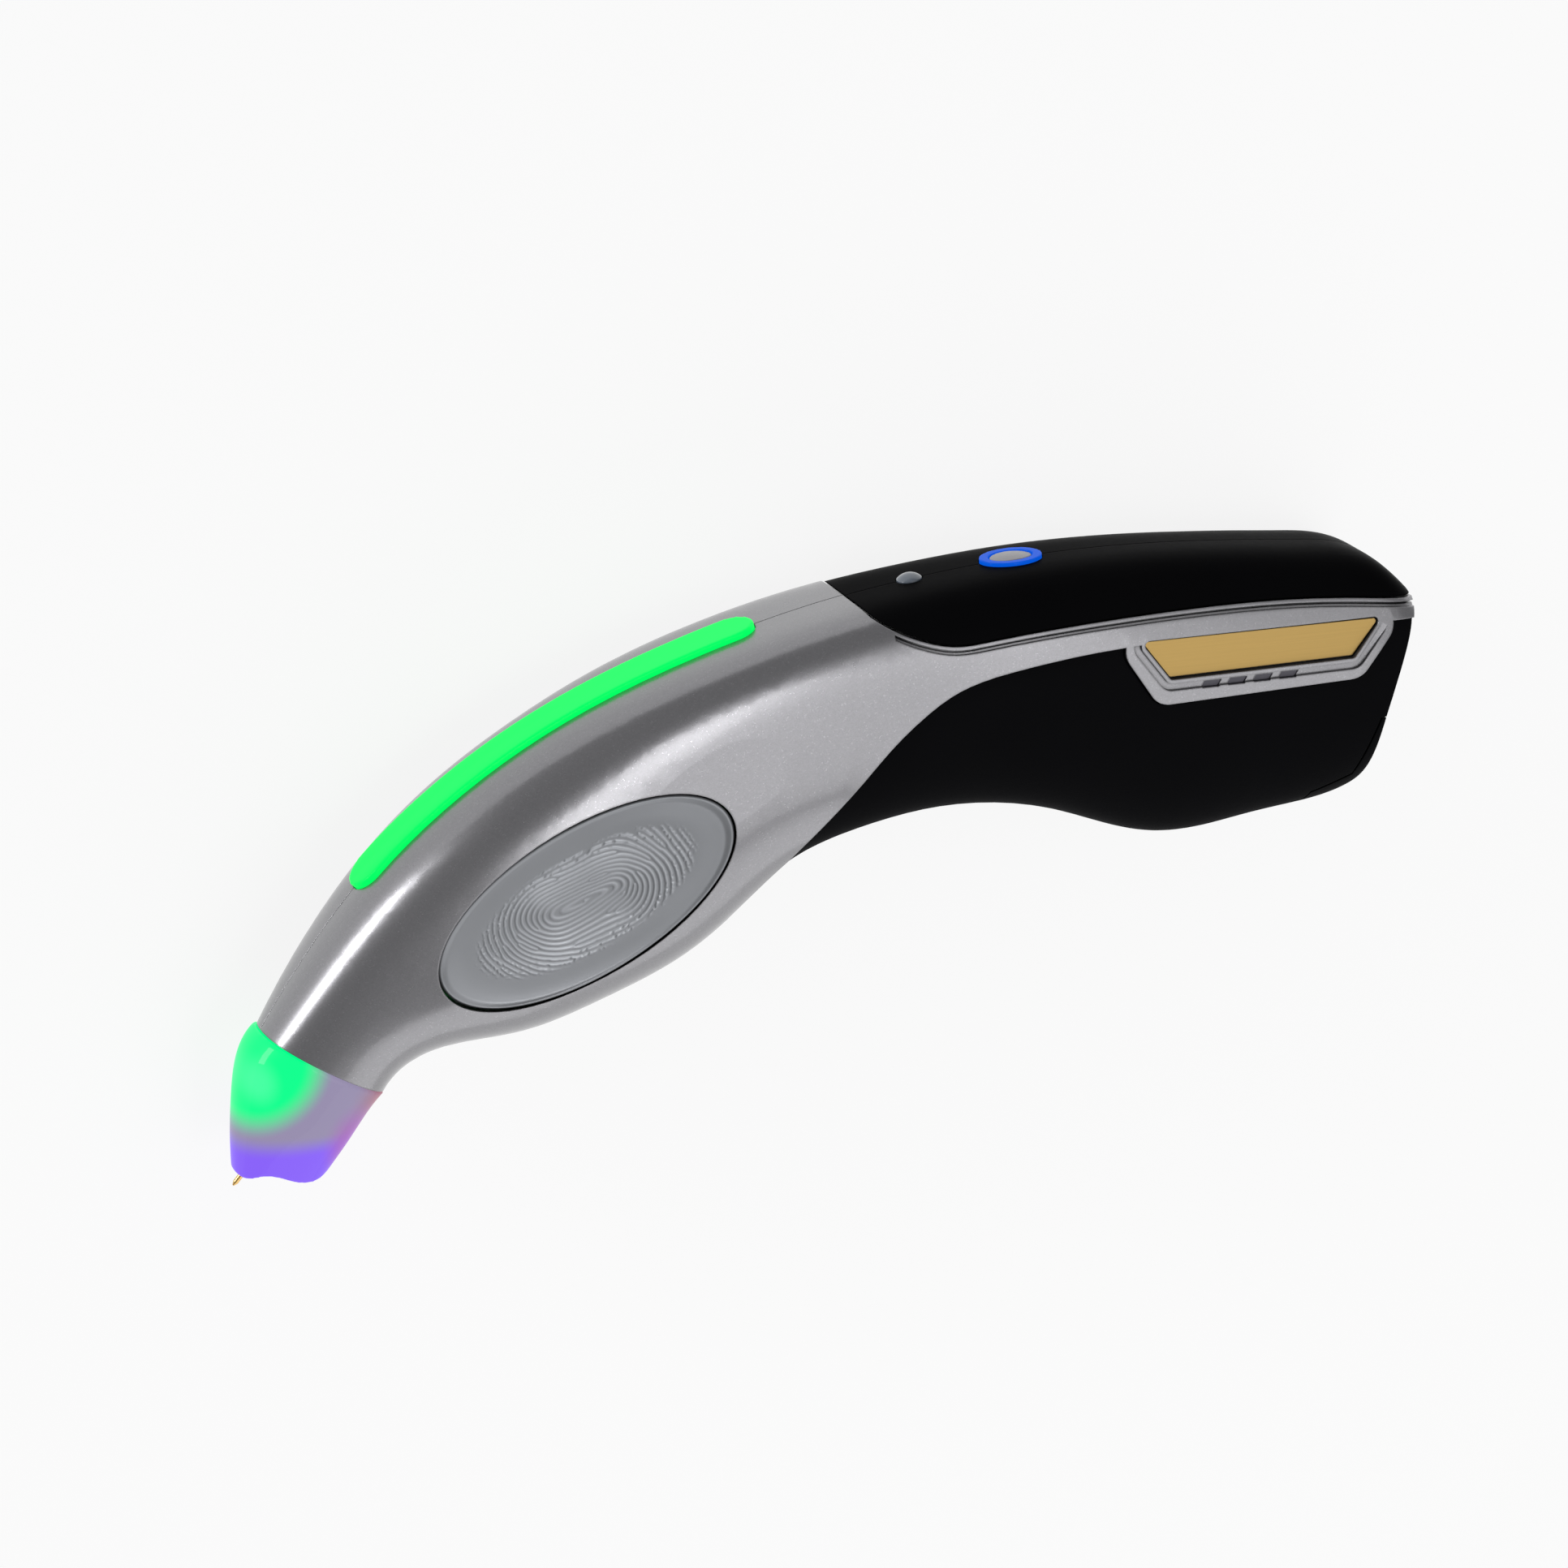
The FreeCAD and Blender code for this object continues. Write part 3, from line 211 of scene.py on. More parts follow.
class Signal:
    """A value inside a finish. Arithmetic on it adds Math nodes."""

    def __init__(self, finish, socket):
        self.finish = finish
        self.socket = socket

    def math(self, operation, first, second):
        return self.finish.node("ShaderNodeMath", {"operation": operation}, first, second)

    def __add__(self, other):
        return self.math("ADD", self, other)

    def __radd__(self, other):
        return self.math("ADD", other, self)

    def __sub__(self, other):
        return self.math("SUBTRACT", self, other)

    def __rsub__(self, other):
        return self.math("SUBTRACT", other, self)

    def __mul__(self, other):
        return self.math("MULTIPLY", self, other)

    def __rmul__(self, other):
        return self.math("MULTIPLY", other, self)


class Finish:
    """A material on one Principled shader."""

    def __init__(self, name, **constants):
        self.material = bpy.data.materials.new(name)
        self.material.use_nodes = True
        self.tree = self.material.node_tree
        self.shader = self.tree.nodes["Principled BSDF"]
        for key, value in constants.items():
            self.put(key, value)

    def feed(self, socket, value):
        """Links a signal to a socket, or sets its constant."""
        if isinstance(value, Signal):
            self.tree.links.new(value.socket, socket)
        elif hasattr(value, "__len__") and len(value) == 3 and socket.type == "RGBA":
            socket.default_value = (*value, 1.0)
        else:
            socket.default_value = value

    def put(self, key, value):
        """Sets one of the shader's sockets, named with underscores for spaces."""
        self.feed(self.shader.inputs[key.replace("_", " ")], value)

    def node(self, kind, settings, *values, output=0, **named):
        """Adds a node with its settings, then its inputs in order or by name."""
        made = self.tree.nodes.new(kind)
        for key, value in settings.items():
            setattr(made, key, value)
        for socket, value in zip(made.inputs, values):
            self.feed(socket, value)
        for key, value in named.items():
            self.feed(made.inputs[key.replace("_", " ")], value)
        return Signal(self, made.outputs[output])

    def mix(self, factor, first, second):
        """Colour between two colours."""
        made = self.tree.nodes.new("ShaderNodeMix")
        made.data_type = "RGBA"
        sockets = {socket.identifier: socket for socket in made.inputs}
        inputs = (("Factor_Float", factor), ("A_Color", first), ("B_Color", second))
        for identifier, value in inputs:
            self.feed(sockets[identifier], value)
        results = {socket.identifier: socket for socket in made.outputs}
        return Signal(self, results["Result_Color"])

    def vary(self, value, colour, low, high):
        """A colour that goes from a darker to a lighter shade of itself as a value rises."""
        return self.mix(value, shade(colour, low), shade(colour, high))

    def vector(self, operation, *values, output="Vector"):
        """Adds a Vector Math node."""
        return self.node("ShaderNodeVectorMath", {"operation": operation}, *values, output=output)

    def place(self):
        """Point on the piece, in the tool's own frame."""
        return self.node("ShaderNodeTexCoord", {}, output="Object")

    def stretched(self, scale):
        """Point on the piece with each axis scaled by itself."""
        return self.vector("MULTIPLY", self.place(), Vector(scale))

    def noise(self, scale, detail, point=None):
        """Soft random value about a half."""
        return self.node("ShaderNodeTexNoise", {}, Vector=point or self.place(), Scale=scale,
                         Detail=detail)

    def cells(self, scale):
        """Random colour that is even over each small flake."""
        return self.node("ShaderNodeTexVoronoi", {}, output="Color", Vector=self.place(),
                         Scale=scale)

    def along(self, start, way):
        """Distance along a direction from a start, as a share of the direction's length."""
        offset = self.vector("SUBTRACT", self.place(), start)
        return self.vector("DOT_PRODUCT", offset, way / way.length_squared, output="Value")

    def ease(self, value, low, high):
        """Smooth rise from 0 to 1 between two values."""
        return self.node("ShaderNodeMapRange", {"interpolation_type": "SMOOTHSTEP"},
                         value, low, high, 0.0, 1.0)

    def spread(self, centre, stretch=(1.0, 1.0, 0.0)):
        """Distance from a point in side view, with each axis scaled by itself."""
        offset = self.vector("SUBTRACT", self.place(), centre)
        flat = self.vector("MULTIPLY", offset, Vector(stretch))
        return self.vector("LENGTH", flat, output="Value")

    def openness(self, reach):
        """How open a point is: 1 on a free surface, towards 0 in a groove or gap."""
        return self.node("ShaderNodeAmbientOcclusion", {"samples": 4}, output="AO", Distance=reach)

    def bump(self, height, distance, strength=1.0, edge=0.0):
        """Feeds a height to the surface's normal, over edges rounded by a radius."""
        base = {"Normal": self.node("ShaderNodeBevel", {"samples": 4}, edge)} if edge else {}
        self.put("Normal", self.node("ShaderNodeBump", {}, Height=height, Distance=distance,
                                     Strength=strength, **base))


def shade(colour, factor):
    """A colour made lighter or darker."""
    return tuple(min(1.0, channel * factor) for channel in colour)


def silver_paint(colour):
    """Metallic paint with fine flake, with shade painted dark into its grooves and gaps."""
    finish = Finish("silver_paint", Metallic=0.85, Coat_Weight=0.5, Coat_Roughness=0.12)
    flake = finish.node("ShaderNodeSeparateColor", {}, finish.cells(7000.0))
    cloud = finish.noise(120.0, 3.0)
    glint = finish.ease(flake, 0.94, 1.0)
    tone = finish.vary(flake, colour, 0.94, 1.06)
    tone = finish.mix(glint * 0.25, tone, shade(colour, 1.6))
    # Painted shade: the colour falls to an eighth of itself in grooves and gaps, where shade falls
    free = finish.ease(finish.openness(0.9 * MM), 0.3, 0.8)
    finish.put("Base_Color", finish.mix(free, shade(colour, 0.12), tone))
    finish.put("Roughness", 0.28 + cloud * 0.02 - glint * 0.04)
    finish.bump(finish.noise(3000.0, 1.0), 0.01 * MM, 0.15, MOULDED_EDGE)
    return finish.material


def pad_grey(colour):
    """Even conductive coat of the finger pads, with a highlight painted lighter on the ridges."""
    finish = Finish("pad_grey", Metallic=0.8, Coat_Weight=0.15, Coat_Roughness=0.25)
    cloud = finish.noise(90.0, 4.0)
    grain = finish.noise(3000.0, 2.0)
    ridge = finish.node("ShaderNodeAttribute", {"attribute_name": "ridge"}, output=2)
    tone = finish.vary(cloud, colour, 0.93, 1.07)
    # Painted highlight: the colour is half as light again on the ridges of the print
    finish.put("Base_Color", finish.mix(ridge, tone, shade(colour, 1.5)))
    finish.put("Roughness", 0.3 + grain * 0.06)
    finish.bump(grain, 0.01 * MM, 0.3, 0.15 * MM)
    return finish.material


def moulded(name, colour, roughness, coat=0.0, sheen=0.5, grain_scale=1500.0,
            grain_depth=0.01 * MM, edge=0.0):
    """Moulded plastic with a fine erosion grain."""
    finish = Finish(name, Coat_Weight=coat, Coat_Roughness=0.2, Specular_IOR_Level=sheen)
    grain = finish.noise(grain_scale, 3.0)
    cloud = finish.noise(60.0, 3.0)
    finish.put("Base_Color", finish.vary(cloud, colour, 0.85, 1.15))
    finish.put("Roughness", roughness - 0.05 + grain * 0.1)
    finish.bump(grain, grain_depth, 0.6, edge)
    return finish.material


def brushed(name, colour, roughness, streak, edge=0.0):
    """Metal with fine streaks along one axis."""
    finish = Finish(name, Metallic=1.0, Coat_Weight=0.15, Coat_Roughness=0.15)
    lines = finish.noise(1.0, 3.0, point=finish.stretched(streak))
    finish.put("Base_Color", finish.vary(lines, colour, 0.86, 1.12))
    finish.put("Roughness", roughness - 0.08 + lines * 0.16)
    finish.bump(lines, 0.01 * MM, 0.5, edge)
    return finish.material


def plated(name, colour, roughness):
    """Plated metal with slight stains."""
    finish = Finish(name, Metallic=1.0)
    stain = finish.noise(400.0, 4.0)
    finish.put("Base_Color", finish.vary(stain, colour, 0.85, 1.1))
    finish.put("Roughness", roughness - 0.05 + stain * 0.12)
    return finish.material


def lit_plastic(name, colour, base):
    """Translucent plastic lit from behind."""
    finish = Finish(name, Base_Color=base, Roughness=0.4, Specular_IOR_Level=0.05,
                    Coat_Weight=0.06, Coat_Roughness=0.06, Emission_Strength=1.0)
    glow = finish.noise(260.0, 2.0)
    finish.put("Emission_Color", finish.vary(glow, colour, 0.97, 1.03))
    return finish.material


def circuit_board(colour):
    """Solder mask with faint tracks."""
    finish = Finish("circuit_board", Roughness=0.35, Coat_Weight=0.3, Coat_Roughness=0.2)
    tracks = finish.node("ShaderNodeTexBrick", {"offset": 0.5}, Vector=finish.place(), Scale=260.0,
                         Mortar_Size=0.012, output=1)
    cloud = finish.noise(300.0, 3.0)
    mask = finish.vary(cloud, colour, 0.85, 1.2)
    finish.put("Base_Color", finish.mix(tracks, mask, shade(colour, 2.2)))
    return finish.material


def frosted_nose(group):
    """Frosted shell lit from inside: green by the crest, violet at the tip, red by the belly."""
    finish = Finish("frosted_nose", Roughness=0.4, Specular_IOR_Level=0.05, Coat_Weight=0.16,
                    Coat_Roughness=0.05, Emission_Strength=1.0, Base_Color=(0.004, 0.004, 0.006))
    fade, reach = group.fade, group.green_radius
    low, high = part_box("nose_lens")
    green_heart = Vector((low.x + 0.6 * MM, high.y - 2.6 * MM, MIDDLE))
    pale_heart = green_heart + Vector((2.0 * MM, -3.4 * MM, 0.0))
    red_heart = Vector((high.x + 0.6 * MM, high.y - 10.6 * MM, MIDDLE))
    pink_heart = Vector((high.x - 4.6 * MM, low.y + 4.4 * MM, MIDDLE))
    rise = finish.along(Vector((0.0, low.y, 0.0)), Vector((0.0, high.y - low.y, 0.0)))
    red = finish.ease(finish.spread(red_heart), fade * 1.6, fade * 0.25)
    pink = finish.ease(finish.spread(pink_heart, (1.0, 0.7, 0.0)), fade * 1.2, fade * 0.35)
    violet = finish.ease(rise, 0.36, 0.2)
    green = finish.ease(finish.spread(green_heart), reach + fade, reach)
    pale = finish.ease(finish.spread(pale_heart, (1.0, 0.75, 0.0)), fade * 0.7, fade * 0.1)
    glow = finish.mix(red * 0.9, group.body, group.red)
    glow = finish.mix(violet, glow, group.violet)
    glow = finish.mix(pink * 0.8, glow, group.pink)
    glow = finish.mix(green, glow, group.green)
    finish.put("Emission_Color", finish.mix(pale * 0.8, glow, group.pale))
    finish.bump(finish.noise(1800.0, 2.0), 0.01 * MM, 0.3)
    return finish.material


def studio_floor(white):
    """Pale floor that looks white to the camera and keeps the shadow."""
    finish = Finish("studio_floor", Base_Color=(0.9, 0.9, 0.9), Roughness=0.9)
    camera, glossy, through = [
        finish.node("ShaderNodeLightPath", {}, output=ray)
        for ray in ("Is Camera Ray", "Is Glossy Ray", "Is Transmission Ray")]
    plain = Signal(finish, finish.shader.outputs[0])
    glow = finish.node("ShaderNodeEmission", {})
    seen = (camera + glossy + through) * white
    mixed = finish.node("ShaderNodeMixShader", {}, seen, plain, glow)
    finish.feed(finish.tree.nodes["Material Output"].inputs["Surface"], mixed)
    return finish.material


def assign(piece, material):
    """Gives a piece its only material."""
    piece.data.materials.clear()
    piece.data.materials.append(material)


def dress(material, slot, *nodes):
    """Gives carried-over pieces their finish."""
    for name in nodes:
        assign(frame["nodes"][name], material)


def soft_copy(name, voxel, rounds):
    """Copy of a carried-over piece with evenly rounded edges, which stands for it."""
    node = frame["nodes"][name]
    mesh = node.data.copy()
    piece = bpy.data.objects.new(name + "_moulding", mesh)
    bpy.context.scene.collection.objects.link(piece)
    remesh = piece.modifiers.new("remesh", "REMESH")
    remesh.mode = "VOXEL"
    remesh.voxel_size = voxel
    smooth = piece.modifiers.new("smooth", "SMOOTH")
    smooth.factor = 0.5
    smooth.iterations = rounds
    depsgraph = bpy.context.evaluated_depsgraph_get()
    shaped = bpy.data.meshes.new_from_object(piece.evaluated_get(depsgraph))
    piece.modifiers.clear()
    piece.data = shaped
    bpy.data.meshes.remove(mesh)
    shaped.polygons.foreach_set("use_smooth", [True] * len(shaped.polygons))
    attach(piece, node["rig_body"])
    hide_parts(name)
    return piece


def mould(name, voxel, rounds, material):
    """Puts a piece's soft-edged copy in its place and gives it its finish."""
    piece = soft_copy(name, voxel, rounds)
    assign(piece, material)


def upper_heights(name, spots):
    """Heights of a carried-over piece's upper side at spots in side view."""
    tree = BVHTree.FromObject(frame["nodes"][name], bpy.context.evaluated_depsgraph_get())
    top = cad_box[1][2] + MM
    hits = [tree.ray_cast(Vector((x, y, top)), Vector((0.0, 0.0, -1.0)))[0] for x, y in spots]
    return np.array([hit.z if hit else np.nan for hit in hits])


def powers(u, v):
    """Products of powers of two shares up to the fourth order."""
    return np.stack([u ** i * v ** j for i in range(5) for j in range(5 - i)], axis=-1)


class PadShape:
    """Surface of the left finger pad over its long and short axis.

    Places are distances along the two axes, and shares are parts of the pad's half axes.
    """

    # The CAD pad's rim is measured at many points on two rings, and read at one share
    RIM_POINTS = 180
    RIM_SHARES = (0.984, 0.992)
    RIM_READ = 0.99
    # Inside this share the rim plays no part, and its height stays the same
    LEVEL_WITHIN = 0.5
    # The soft edge comes in over the first two shares and loses most of its width over the others
    SOFT_RISE = (0.6, 0.9)
    SOFT_FALL = (0.93, 1.0)
    SOFT_LOSS = 0.8

    def __init__(self, pad):
        self.pad = pad
        low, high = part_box("left_finger_pad")
        self.centre = np.array([(low.x + high.x) / 2, (low.y + high.y) / 2])
        self.half = np.array([pad.length, pad.width]) / 2
        self.turn = np.array([[math.cos(pad.turn), -math.sin(pad.turn)],
                              [math.sin(pad.turn), math.cos(pad.turn)]])
        angle = np.linspace(0.0, 2 * math.pi, self.RIM_POINTS, endpoint=False)
        ring = np.concatenate([np.stack([np.cos(angle), np.sin(angle)], axis=-1) * share
                               for share in self.RIM_SHARES])
        heights = upper_heights("left_finger_pad", self.spot(ring * self.half))
        found = np.isfinite(heights)
        self.rim_terms = np.linalg.lstsq(powers(*ring[found].T), heights[found], rcond=1e-9)[0]
        self.top = high.z

    def spot(self, place):
        """Places on the pad's axes, turned into places in side view."""
        return place @ self.turn.T + self.centre

    def rim(self, place):
        """Height of the rim near the pad's edge."""
        return powers(*(place / self.half).T) @ self.rim_terms

    def dish(self, place):
        """Lower side of the ball that hollows the pad."""
        pad = self.pad
        turn = (Matrix.Rotation(pad.pitch, 3, "Y") @ Matrix.Rotation(pad.roll, 3, "X")
                @ Matrix.Rotation(pad.turn, 3, "Z"))
        halves = np.array([pad.dish_length, pad.dish_width, pad.dish_height])
        shrink = np.diag(1 / halves) @ np.array(turn).T
        flat = (self.spot(place) - self.centre) @ shrink[:, :2].T
        upward = shrink[:, 2]
        half_sum = flat @ upward
        room = half_sum ** 2 - upward @ upward * ((flat ** 2).sum(axis=-1) - 1)
        drop = (half_sum + np.sqrt(np.maximum(room, 0.0))) / (upward @ upward)
        return cad_box[1][2] + pad.dish_lift - drop

    def surface(self, place):
        """Dish that rolls over softly into the rim, which is level with the flank around it."""
        dish = self.dish(place)
        share = np.maximum(np.sqrt(((place / self.half) ** 2).sum(axis=-1)), 0.01)
        edge_height = self.rim(place * (self.RIM_READ / share)[:, None])
        rim = np.where(share < self.LEVEL_WITHIN, self.top, edge_height)
        loss = 1 - self.SOFT_LOSS * eased(share, *self.SOFT_FALL)
        soft = self.pad.soft * eased(share, *self.SOFT_RISE) * loss
        return np.minimum((rim + dish - np.hypot(rim - dish, soft)) / 2, self.top)


def eased(value, low, high):
    """Smooth rise from 0 to 1 between two values."""
    share = np.clip((value - low) / (high - low), 0.0, 1.0)
    return share * share * (3 - 2 * share)


def print_ridges(pad, place):
    """Ridges of a print as 0 to 1: a whorl of long loops with ridge ends, frayed at its rim.

    Lengths are counted in ridges at the print's middle.
    """
    u, v = place.T / pad.ridge_pitch
    half_length, half_width = np.array([pad.print_length, pad.print_width]) / 2 / pad.ridge_pitch
    share = np.hypot(u / half_length, v / half_width)
    # Slow waves bend the loops, which run round a bar at the middle
    bent_u = u + 0.9 * np.sin(v / 5.0 + 0.6) + 0.5 * np.sin(u / 7.0)
    bent_v = v + 0.9 * np.sin(u / 9.0 + 0.4) - 0.5 * np.cos(v / 4.0 + u / 12.0)
    beyond = np.abs(bent_u) - (half_length - half_width) * 0.55
    beyond = (beyond + np.hypot(beyond, 5.0)) / 2
    phase = 2 * math.pi * np.hypot(beyond, bent_v) / (1 + 0.3 * share) + np.arctan2(bent_v, bent_u)
    # Each ridge end adds or takes away one ridge about its spot
    chance = np.random.default_rng(PRINT_SEED)
    for index in range(RIDGE_ENDS):
        reach, angle = math.sqrt(chance.uniform(0.08, 0.95)), chance.uniform(0.0, 2 * math.pi)
        end_u, end_v = reach * math.cos(angle) * half_length, reach * math.sin(angle) * half_width
        phase += (-1) ** index * np.arctan2(v - end_v, u - end_u)
    # The ridges break up towards the rim
    speckle = np.sin(u * 1.9 + 3.0 * np.sin(v * 0.7)) * np.sin(v * 2.3 + 2.0 * np.sin(u * 0.45))
    mask = eased(share + 0.04 * speckle + 0.03 * np.sin(phase / 2), 1.02, 0.9)
    mask *= 1 - eased(share, 0.62, 0.95) * (1 - eased(speckle, -0.75, -0.35))
    ridges = eased(0.5 + 0.5 * np.cos(phase), 0.2, 0.9)
    return ridges * mask * (0.55 + 0.45 * eased(share, 0.2, 0.8))


def finger_pad(name, pad, shape, mirrored):
    """Dished pad with a rounded edge and a print in relief, on either flank."""
    columns, rows = math.ceil(pad.length / pad.step), math.ceil(pad.width / pad.step)
    s, t = np.meshgrid(np.linspace(-1, 1, columns + 1), np.linspace(-1, 1, rows + 1), indexing="ij")
    inner = shape.half - pad.edge
    place = np.stack([s * np.sqrt(1 - t * t / 2) * inner[0], t * np.sqrt(1 - s * s / 2) * inner[1]],
                     axis=-1).reshape(-1, 2)
    ridges = print_ridges(pad, place)
    number = np.arange(place.shape[0]).reshape(columns + 1, rows + 1)
    border = np.concatenate([number[:-1, 0], number[-1, :-1], number[:0:-1, -1], number[0, :0:-1]])
    rim, height = place[border], shape.surface(place[border])
    spots, heights = [shape.spot(place)], [shape.surface(place) + ridges * pad.relief]
    faces = [np.stack([number[:-1, :-1], number[1:, :-1], number[1:, 1:], number[:-1, 1:]],
                      axis=-1).reshape(-1, 4)]
    last, first = border, place.shape[0]
    # Rings of the rounded edge and the skirt, as shares outward and ways down
    rings = [(math.sin(angle), pad.edge * (1 - math.cos(angle)))
             for angle in np.linspace(0.0, math.pi / 2, EDGE_STEPS + 1)[1:]] + [(1.0, pad.skirt)]
    for outward, drop in rings:
        spots.append(shape.spot(rim + rim * (shape.half / inner - 1) * outward))
        heights.append(height - drop)
        ring = np.arange(first, first + len(border))
        faces.append(np.stack([last, ring, np.roll(ring, -1), np.roll(last, -1)], axis=-1))
        last, first = ring, first + len(border)
    underside = np.column_stack([last, np.roll(last, 1), np.full(len(last), first)])
    spots.append(shape.centre[None])
    heights.append(np.array([heights[0].min() - pad.relief * 10]))
    points = np.column_stack([np.concatenate(spots), np.concatenate(heights)])
    loops = [face for group in faces for face in group.tolist()] + underside.tolist()
    if mirrored:
        points[:, 2] = 2 * MIDDLE - points[:, 2]
        loops = [face[::-1] for face in loops]
    mesh = bpy.data.meshes.new(name)
    mesh.from_pydata(points.tolist(), [], loops)
    mesh.polygons.foreach_set("use_smooth", [True] * len(mesh.polygons))
    ridge = mesh.attributes.new("ridge", "FLOAT", "POINT")
    ridge.data.foreach_set("value", np.concatenate([ridges, np.zeros(len(points) - len(ridges))]))
    piece = bpy.data.objects.new(name, mesh)
    bpy.context.scene.collection.objects.link(piece)
    return piece


class TESTER_OT_stage(bpy.types.Operator):
    """Camera, pale floor, even sky and soft lamps"""

    bl_idname = "tester.stage"
    bl_label = "Studio"

    def execute(self, context):
        studio = context.scene.tester_studio
        right = Vector((math.cos(studio.turn), 0.0, math.sin(studio.turn)))
        toward = Vector((-math.sin(studio.turn) * math.cos(studio.tilt), math.sin(studio.tilt),
                         math.cos(studio.turn) * math.cos(studio.tilt)))
        upward = toward.cross(right)
        aim = Vector(studio.aim)
        self.camera(context, studio, aim, (right, upward, toward))
        self.floor(context, studio)
        self.sky(context, studio)
        for name, power, way, sides in LAMPS:
            self.lamp(context, name, aim, Vector(way), sides, getattr(studio, power))
        context.scene.view_settings.view_transform = "Standard"
        return {"FINISHED"}

    def camera(self, context, studio, aim, axes):
        """Camera that looks at the aim point along the view's own axes."""
        data = bpy.data.cameras.new("camera")
        data.lens = studio.lens
        data.sensor_width = SENSOR_WIDTH
        camera = bpy.data.objects.new("camera", data)
        turn = Matrix([[axis[row] for axis in axes] for row in range(3)]).to_4x4()
        camera.matrix_world = Matrix.Translation(aim + axes[2] * studio.distance) @ turn
        context.scene.collection.objects.link(camera)
        context.scene.camera = camera

    def floor(self, context, studio):
        """Pale square under the tool."""
        half = studio.floor / 2
        mesh = bpy.data.meshes.new("floor")
        corners = [(-half, -half, 0.0), (half, -half, 0.0), (half, half, 0.0), (-half, half, 0.0)]
        mesh.from_pydata(corners, [], [(0, 1, 2, 3)])
        floor = bpy.data.objects.new("floor", mesh)
        context.scene.collection.objects.link(floor)
        assign(floor, studio_floor(FLOOR_WHITE))

    def sky(self, context, studio):
        """Even white light from all round."""
        world = bpy.data.worlds.new("sky")
        world.use_nodes = True
        context.scene.world = world
        background = world.node_tree.nodes["Background"]
        background.inputs["Color"].default_value = (1.0, 1.0, 1.0, 1.0)
        background.inputs["Strength"].default_value = studio.sky

    def lamp(self, context, name, aim, way, sides, power):
        """Soft lamp that faces the aim point."""
        data = bpy.data.lights.new(name, "AREA")
        data.shape = "RECTANGLE"
        data.size, data.size_y = sides
        data.energy = power
        lamp = bpy.data.objects.new(name, data)
        way = way.normalized()
        turn = way.to_track_quat("Z", "Y").to_matrix().to_4x4()
        lamp.matrix_world = Matrix.Translation(aim + way * LAMP_DISTANCE) @ turn
        context.scene.collection.objects.link(lamp)


class TESTER_OT_casing(bpy.types.Operator):
    """Silver halves of the casing, with rail and bezel"""

    bl_idname = "tester.casing"
    bl_label = "Casing"

    def execute(self, context):
        colours = context.scene.tester_colours
        dress(silver_paint(colours.silver), "silver_paint", "left_shell", "right_shell")
        return {"FINISHED"}


class TESTER_OT_covers(bpy.types.Operator):
    """Black top covers, grips and battery door"""

    bl_idname = "tester.covers"
    bl_label = "Covers and grips"

    def execute(self, context):
        colours = context.scene.tester_colours
        cover = moulded("black_gloss", colours.cover, 0.32, sheen=0.003, grain_scale=1400.0,
                        edge=MOULDED_EDGE)
        dress(cover, "black_gloss", "left_top_cover", "right_top_cover")
        grip = moulded("soft_black", colours.grip, 0.6, sheen=0.015, grain_scale=1600.0,
                       grain_depth=0.02 * MM, edge=MOULDED_EDGE)
        dress(grip, "soft_black", "left_grip", "right_grip", "battery_door")
        return {"FINISHED"}


class TESTER_OT_pads(bpy.types.Operator):
    """Dished finger pads with a print relief"""

    bl_idname = "tester.pads"
    bl_label = "Finger pads"

    def execute(self, context):
        pad = context.scene.tester_pad
        coat = pad_grey(context.scene.tester_colours.pad)
        shape = PadShape(pad)
        for node, mirrored in (("left_finger_pad", False), ("right_finger_pad", True)):
            piece = finger_pad(node + "_relief", pad, shape, mirrored)
            assign(piece, coat)
            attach(piece, frame["nodes"][node]["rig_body"])
            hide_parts(node)
        return {"FINISHED"}


class TESTER_OT_plates(bpy.types.Operator):
    """Bare gold nameplates and the dark strips behind the slots, which paint the shade inside them
    """

    bl_idname = "tester.plates"
    bl_label = "Nameplates"

    def execute(self, context):
        colours = context.scene.tester_colours
        plate = brushed("gold_plate", colours.gold, 0.42, (60.0, 4000.0, 4000.0), 0.12 * MM)
        dress(plate, "gold_plate", "left_nameplate", "right_nameplate")
        # Painted shade: dark strips sit behind the slots in place of the shade inside them
        dress(moulded("slot_grey", colours.slot, 0.5), "slot_grey",
              "left_slot_strip", "right_slot_strip")
        return {"FINISHED"}


class TESTER_OT_lights(bpy.types.Operator):
    """Lit bar on the crest, power ring, button and indicator"""

    bl_idname = "tester.lights"
    bl_label = "Lights and button"

    def execute(self, context):
        colours = context.scene.tester_colours
        bar = lit_plastic("green_light", colours.green, (0.0, 0.12, 0.02))
        mould("light_bar", 0.2 * MM, 6, bar)
        ring = lit_plastic("blue_light", colours.blue, (0.0, 0.02, 0.1))
        mould("power_ring", 0.1 * MM, 4, ring)
        button = moulded("button_grey", colours.button, 0.3, coat=0.4)
        mould("power_button", 0.1 * MM, 4, button)
        dome = moulded("clear_lens", colours.indicator, 0.15, coat=0.8, grain_scale=900.0,
                       grain_depth=0.005 * MM)
        mould("indicator_lens", 0.08 * MM, 3, dome)
        return {"FINISHED"}


class TESTER_OT_nose(bpy.types.Operator):
    """Frosted nose lit from inside"""

    bl_idname = "tester.nose"
    bl_label = "Nose"

    def execute(self, context):
        group = context.scene.tester_nose
        mould("nose_lens", group.voxel, 10, frosted_nose(group))
        return {"FINISHED"}


